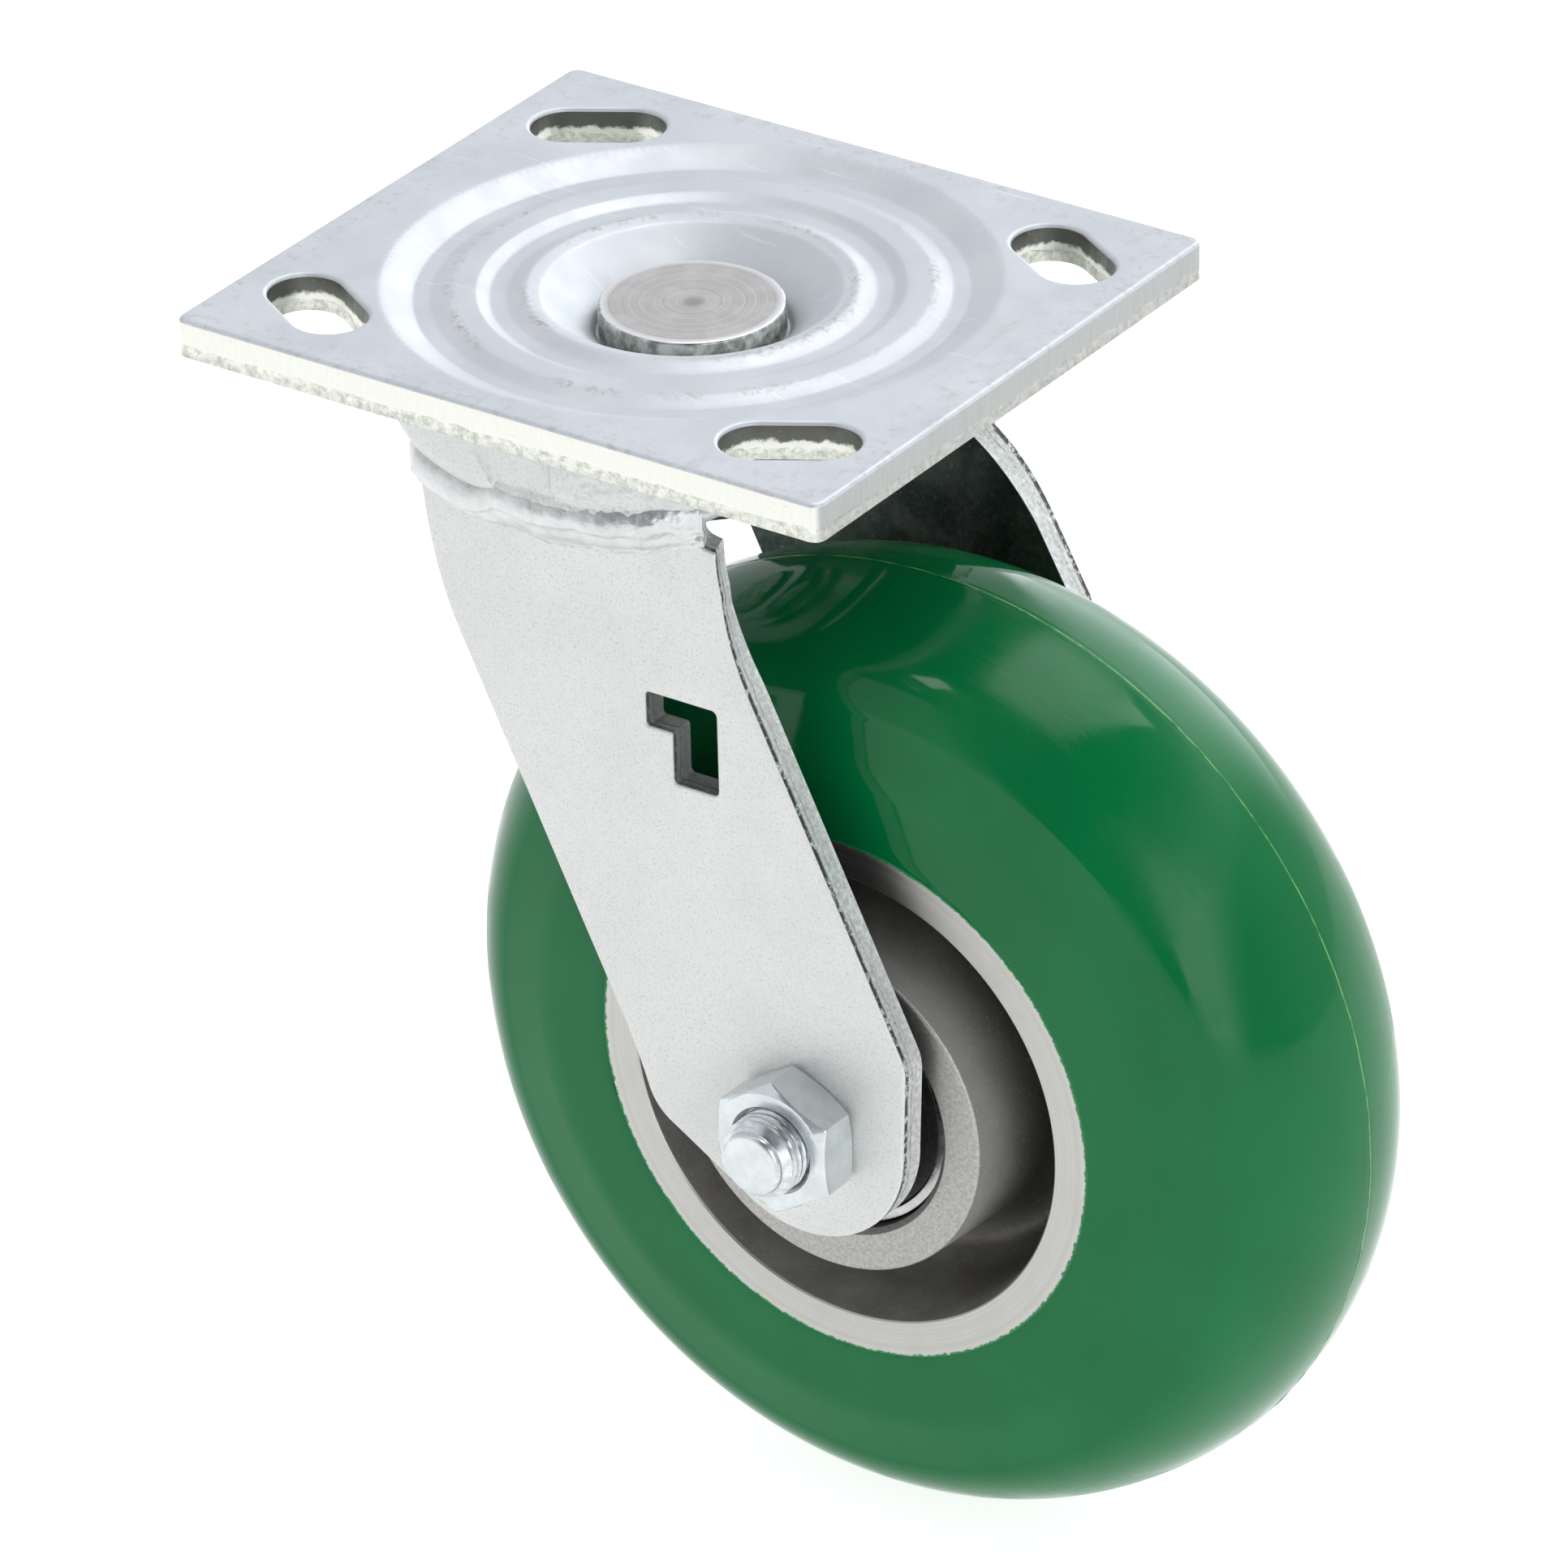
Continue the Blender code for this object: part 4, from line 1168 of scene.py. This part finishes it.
def make_wheel_core(cast, hub, rim):
    half = [
        (17.0, 14.9, 0.3), (20.2, 14.9, 0.2), (20.2, HUB_FACE - 0.9, 0.2), (21.1, HUB_FACE, 0.25),
        (27.0, HUB_FACE, 0.6), (28.4, 9.0, 9.0), (30.6, 5.2, 4.5), (33.8, 5.0, 3.0), (36.2, 9.0, 6.0),
        (37.5, 25.1, 0.3), (37.8, 25.4, 0.15), (RIM_OUTER + 0.25, 25.4, 0.2),
    ]
    corners = half + [(r, -y, fillet) for r, y, fillet in reversed(half)]
    profile = subdivided(filleted(corners, steps=6), 1.6)

    def shape(r, z, angle):
        if 27.2 < r < 37.2 and abs(z) < 27.5:
            bump = 0.10 * jitter(*polar(r, angle), z, 3.0, 2)
            return r + bump * 0.5, z + bump
        return r, z

    def zone(r, z):
        if abs(z) > 25.2 and r > 37.4:
            return 2
        if abs(z) > HUB_FACE - 0.75 and r > 19.5:
            return 1
        return 0

    core = turned("wheel_core_cast", profile, [cast, hub, rim], 220, AXLE, "Y", True, zone, shape, crease=32)
    settle(core, "wheel", "aluminium", "wheel_core")


def make_tread(material):
    """The urethane tyre: a round crown with a mould line, flat sides, and a ragged edge on the rim."""
    crown = []
    steps = 44
    for step in range(steps + 1):
        angle = math.radians(90 - 180 * step / steps)
        y = 22.7 * math.copysign(abs(math.sin(angle)) ** (2 / 1.8), angle)
        r = 63.0 + (WHEEL_RADIUS - 63.0) * abs(math.cos(angle)) ** (2 / 1.8)
        crown.append((r, y))
    right = [(r, y) for r, y in crown if y > 1.2]
    top = WHEEL_RADIUS
    seam = [(top - 0.01, 0.9), (top, 0.45), (top, 0.22), (top + 0.12, 0.07)]
    side = [(RIM_OUTER + 0.2, 24.6, 0), (RIM_OUTER - 0.1, 25.32, 0), (44.0, 25.45, 0), (55.0, 24.75, 20.0)]
    side = filleted(side + [right[0] + (0,)], steps=10, closed=False)[:-1]
    side = side[:2] + subdivided(side[2:], 1.6, closed=False)
    half = side + right + seam
    profile = half + [(r, -y) for r, y in reversed(half)]

    def shape(r, z, angle):
        if r > WHEEL_RADIUS + 0.05:
            return WHEEL_RADIUS + 0.06 + 0.11 * max(-0.4, jitter(*polar(76, angle), z, 3.0, 3)), z
        if r < RIM_OUTER:
            x, y = polar(43, angle)
            ragged = 0.30 * jitter(x, y, z, 2.2, 3) + 0.18 * jitter(x, y, z, 9.0)
            return r + 0.18 + ragged, z
        return r, z

    tread = turned("wheel_tread_moulded", profile, [material], 360, AXLE, "Y", True, None, shape, crease=40)
    settle(tread, "wheel", "green_urethane", "wheel_tread")


def make_bearing(name, centre, race, seal_material, ball_material):
    origin = (AXLE[0], centre, AXLE[2])
    outer = filleted(
        [
            (18.45, -6.0, 0.15), (20.0, -6.0, 0.25), (20.0, 6.0, 0.25), (18.45, 6.0, 0.15), (18.4, 5.0, 0.2),
            (16.6, 4.2, 0.3), (16.6, 2.6, 0.3), (17.9, 0.0, 2.0), (16.6, -2.6, 0.3), (16.6, -4.2, 0.3),
            (18.4, -5.0, 0.2),
        ],
        steps=4,
    )
    ring = turned("bearing_outer_race_" + name, outer, [race], 128, origin, "Y")
    settle(ring, "wheel", "race_steel", f"bearing_{name}_outer_ring")
    inner = filleted(
        [
            (8.7, 6.0, 0.5), (8.7, -6.0, 0.5), (11.9, -6.0, 0.3), (11.9, -2.6, 0.3), (10.6, 0.0, 2.0),
            (11.9, 2.6, 0.3), (11.9, 6.0, 0.3),
        ],
        steps=4,
    )
    ring = turned("bearing_inner_race_" + name, inner, [race], 112, origin, "Y")
    settle(ring, "fork", "race_steel", f"bearing_{name}_inner_ring")
    body, node = f"{name}_bearing_balls", f"bearing_{name}_balls"
    make_balls("bearing_ball_set_" + name, 14.25, 3.37, 8, ball_material, body, node, origin, "Y")
    outward = math.copysign(1, centre)
    for place, face in (("outside", outward), ("inside", -outward)):
        a, b = face * 4.6, face * 5.7
        corners = [(12.1, a, 0), (15.8, a, 0), (18.3, b - face * 0.5, 0), (18.3, b, 0.2), (16.6, b, 0.3)]
        corners += [(16.0, b - face * 0.35, 0.3), (12.9, b - face * 0.2, 0.2), (12.1, b, 0.2)]
        section = filleted(corners, steps=3)
        seal = turned(f"bearing_seal_{name}_{place}", section, [seal_material], 112, origin, "Y")
        settle(seal, "wheel", "black_rubber", f"bearing_{name}_seal_{place}")


# ---------------------------------------------------------------- scene


def heading(azimuth, elevation):
    """A unit vector. Azimuth 0 points to the -Y side and 90 to the +X side."""
    a, e = math.radians(azimuth), math.radians(elevation)
    return Vector((math.sin(a) * math.cos(e), -math.cos(a) * math.cos(e), math.sin(e)))


def facing(direction, spin):
    """The rotation of a camera or a light that looks against a direction, turned by spin degrees."""
    turn = Matrix.Rotation(math.radians(spin), 4, "Z").to_quaternion()
    return (-direction).to_track_quat("-Z", "Y") @ turn


def light_box(name, azimuth, elevation, distance, size, radiance, spin):
    """A soft box that looks at the caster."""
    outward = heading(azimuth, elevation)
    data = bpy.data.lights.new(name, "AREA")
    data.shape = "RECTANGLE"
    data.size, data.size_y = size
    data.energy = radiance * math.pi * size[0] * size[1]
    obj = bpy.data.objects.new(name, data)
    bpy.context.scene.collection.objects.link(obj)
    obj.location = Vector((0.02, 0.0, -0.08)) + outward * distance
    obj.rotation_mode = "QUATERNION"
    obj.rotation_quaternion = facing(outward, spin)


def make_stage():
    """A white floor that glows a little, the room and two light boxes."""
    mesh = bpy.data.meshes.new("floor")
    signs = (-1, -1), (1, -1), (1, 1), (-1, 1)
    corners = [(sx * FLOOR_REACH, sy * FLOOR_REACH, FLOOR_HEIGHT) for sx, sy in signs]
    mesh.from_pydata(corners, [], [(0, 1, 2, 3)])
    floor = bpy.data.objects.new("floor", mesh)
    bpy.context.scene.collection.objects.link(floor)
    s = Shader("floor_paper", (0.42, 0.42, 0.42), 0.0, 0.9)
    s.put(s.mix(s.noise(0.004, 2.0), (0.41, 0.41, 0.41), (0.43, 0.43, 0.43)), s.bsdf.inputs["Base Color"])
    s.put((1.0, 1.0, 1.0), s.bsdf.inputs["Emission Color"])
    s.put(0.86, s.bsdf.inputs["Emission Strength"])
    mesh.materials.append(s.material)

    make_world()
    light_box("overhead_box", 162, 75, 2.0, (1.0, 1.65), 3.3, 8)
    light_box("small_box", -40, 66, 2.0, (0.36, 0.26), 4.6, 0)
    bpy.context.scene.view_settings.view_transform = "Standard"


def make_world():
    """A pale room with a dark ceiling and one dark gap between its left and right walls."""
    world = bpy.data.worlds.new("studio")
    bpy.context.scene.world = world
    world.use_nodes = True
    s = Nodes(world.node_tree)
    direction = s.node("TexCoord", "Generated", {})

    def side(towards, low, high):
        """How far the direction leans to one side, eased from 0 to 1."""
        lean = s.node("VectorMath", "Value", {0: direction, 1: towards}, operation="DOT_PRODUCT")
        return s.ramp(lean, low, high)

    right, left = side(RIGHT_WALL, 0.0, 0.05), side((-0.99, 0.14, 0.0), -0.02, 0.14)
    walls = s.times(s.maths("MAXIMUM", right, left), side((0.0, 0.0, 1.0), 0.93, 0.72))
    walls = s.maths("MAXIMUM", walls, side((-0.57, 0.82, 0.0), 0.22, 0.50))
    glow = s.times(s.times(right, side(RIGHT_WALL, 0.66, 0.34)), side((0.0, 0.0, 1.0), 0.76, 0.56))
    shade = s.mix(left, WALL_SIDE, WALL_LEFT)
    shade = s.mix(side((0.0, 1.0, 0.0), -0.1, 0.65), shade, WALL_REAR)
    shade = s.mix(glow, shade, WALL_GLOW)
    s.put(s.mix(walls, CEILING, shade), world.node_tree.nodes["Background"].inputs["Color"])


def make_camera():
    data = bpy.data.cameras.new("camera")
    camera = bpy.data.objects.new("camera", data)
    bpy.context.scene.collection.objects.link(camera)
    back = heading(CAMERA_AZIMUTH, CAMERA_ELEVATION)
    camera.location = Vector(CAMERA_TARGET) + back * CAMERA_DISTANCE
    camera.rotation_mode = "QUATERNION"
    camera.rotation_quaternion = facing(back, CAMERA_ROLL)
    data.sensor_width = 36.0
    data.lens = CAMERA_LENS
    data.clip_start, data.clip_end = 0.05, 50.0
    bpy.context.scene.camera = camera


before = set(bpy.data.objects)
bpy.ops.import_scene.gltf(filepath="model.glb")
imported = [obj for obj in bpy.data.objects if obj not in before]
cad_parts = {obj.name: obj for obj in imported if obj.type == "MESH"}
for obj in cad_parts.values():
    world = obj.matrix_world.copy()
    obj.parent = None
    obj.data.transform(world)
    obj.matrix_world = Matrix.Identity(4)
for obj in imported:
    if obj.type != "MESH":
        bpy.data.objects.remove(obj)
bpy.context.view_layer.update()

ZINC_BRIGHT = bright_zinc()
THREAD_STEEL = steel("zinc_thread", (0.66, 0.69, 0.70), 0.30)
RACE_STEEL = steel("race_steel_ground", (0.60, 0.60, 0.61), 0.30)
BALL_STEEL = steel("ball_steel_polished", (0.72, 0.72, 0.74), 0.12)
PAINTED_SHADE_ZINC = painted_shade_zinc("zinc_painted_shade")

# The plate's underside gets a lighter painted shade.
make_top_plate([plate_face(), plate_shear(), plate_torn(), painted_shade_zinc("zinc_plate_underside_painted_shade", 1.7)])
make_kingpin(pin_face(), pin_side())
make_lower_bearing(RACE_STEEL, ZINC_BRIGHT, THREAD_STEEL)
make_balls("upper_ball_set", 33.8, 3.97, 26, BALL_STEEL, "upper_balls", "upper_ball_row", (0, 0, -11.1))
make_balls("lower_ball_set", 20.2, 3.18, 18, BALL_STEEL, "lower_balls", "lower_ball_row", (0, 0, -22.4))
# The yoke base's underside and the legs' inner faces get zinc darkened as painted shade.
make_yoke_base([leg_zinc("zinc_yoke_base"), PAINTED_SHADE_ZINC])
make_legs([leg_zinc("zinc_leg_face"), leg_shear(), leg_torn(), PAINTED_SHADE_ZINC])
make_bands(weld_zinc())
make_axle(ZINC_BRIGHT, THREAD_STEEL)
make_bushing(RACE_STEEL)
make_wheel_core(cast_aluminium(), hub_aluminium(), rim_aluminium())
make_tread(urethane())
SEAL = rubber()
for side_name, bearing_centre in (("left", -21.2), ("right", 21.2)):
    make_bearing(side_name, bearing_centre, RACE_STEEL, SEAL, BALL_STEEL)

make_stage()
make_camera()
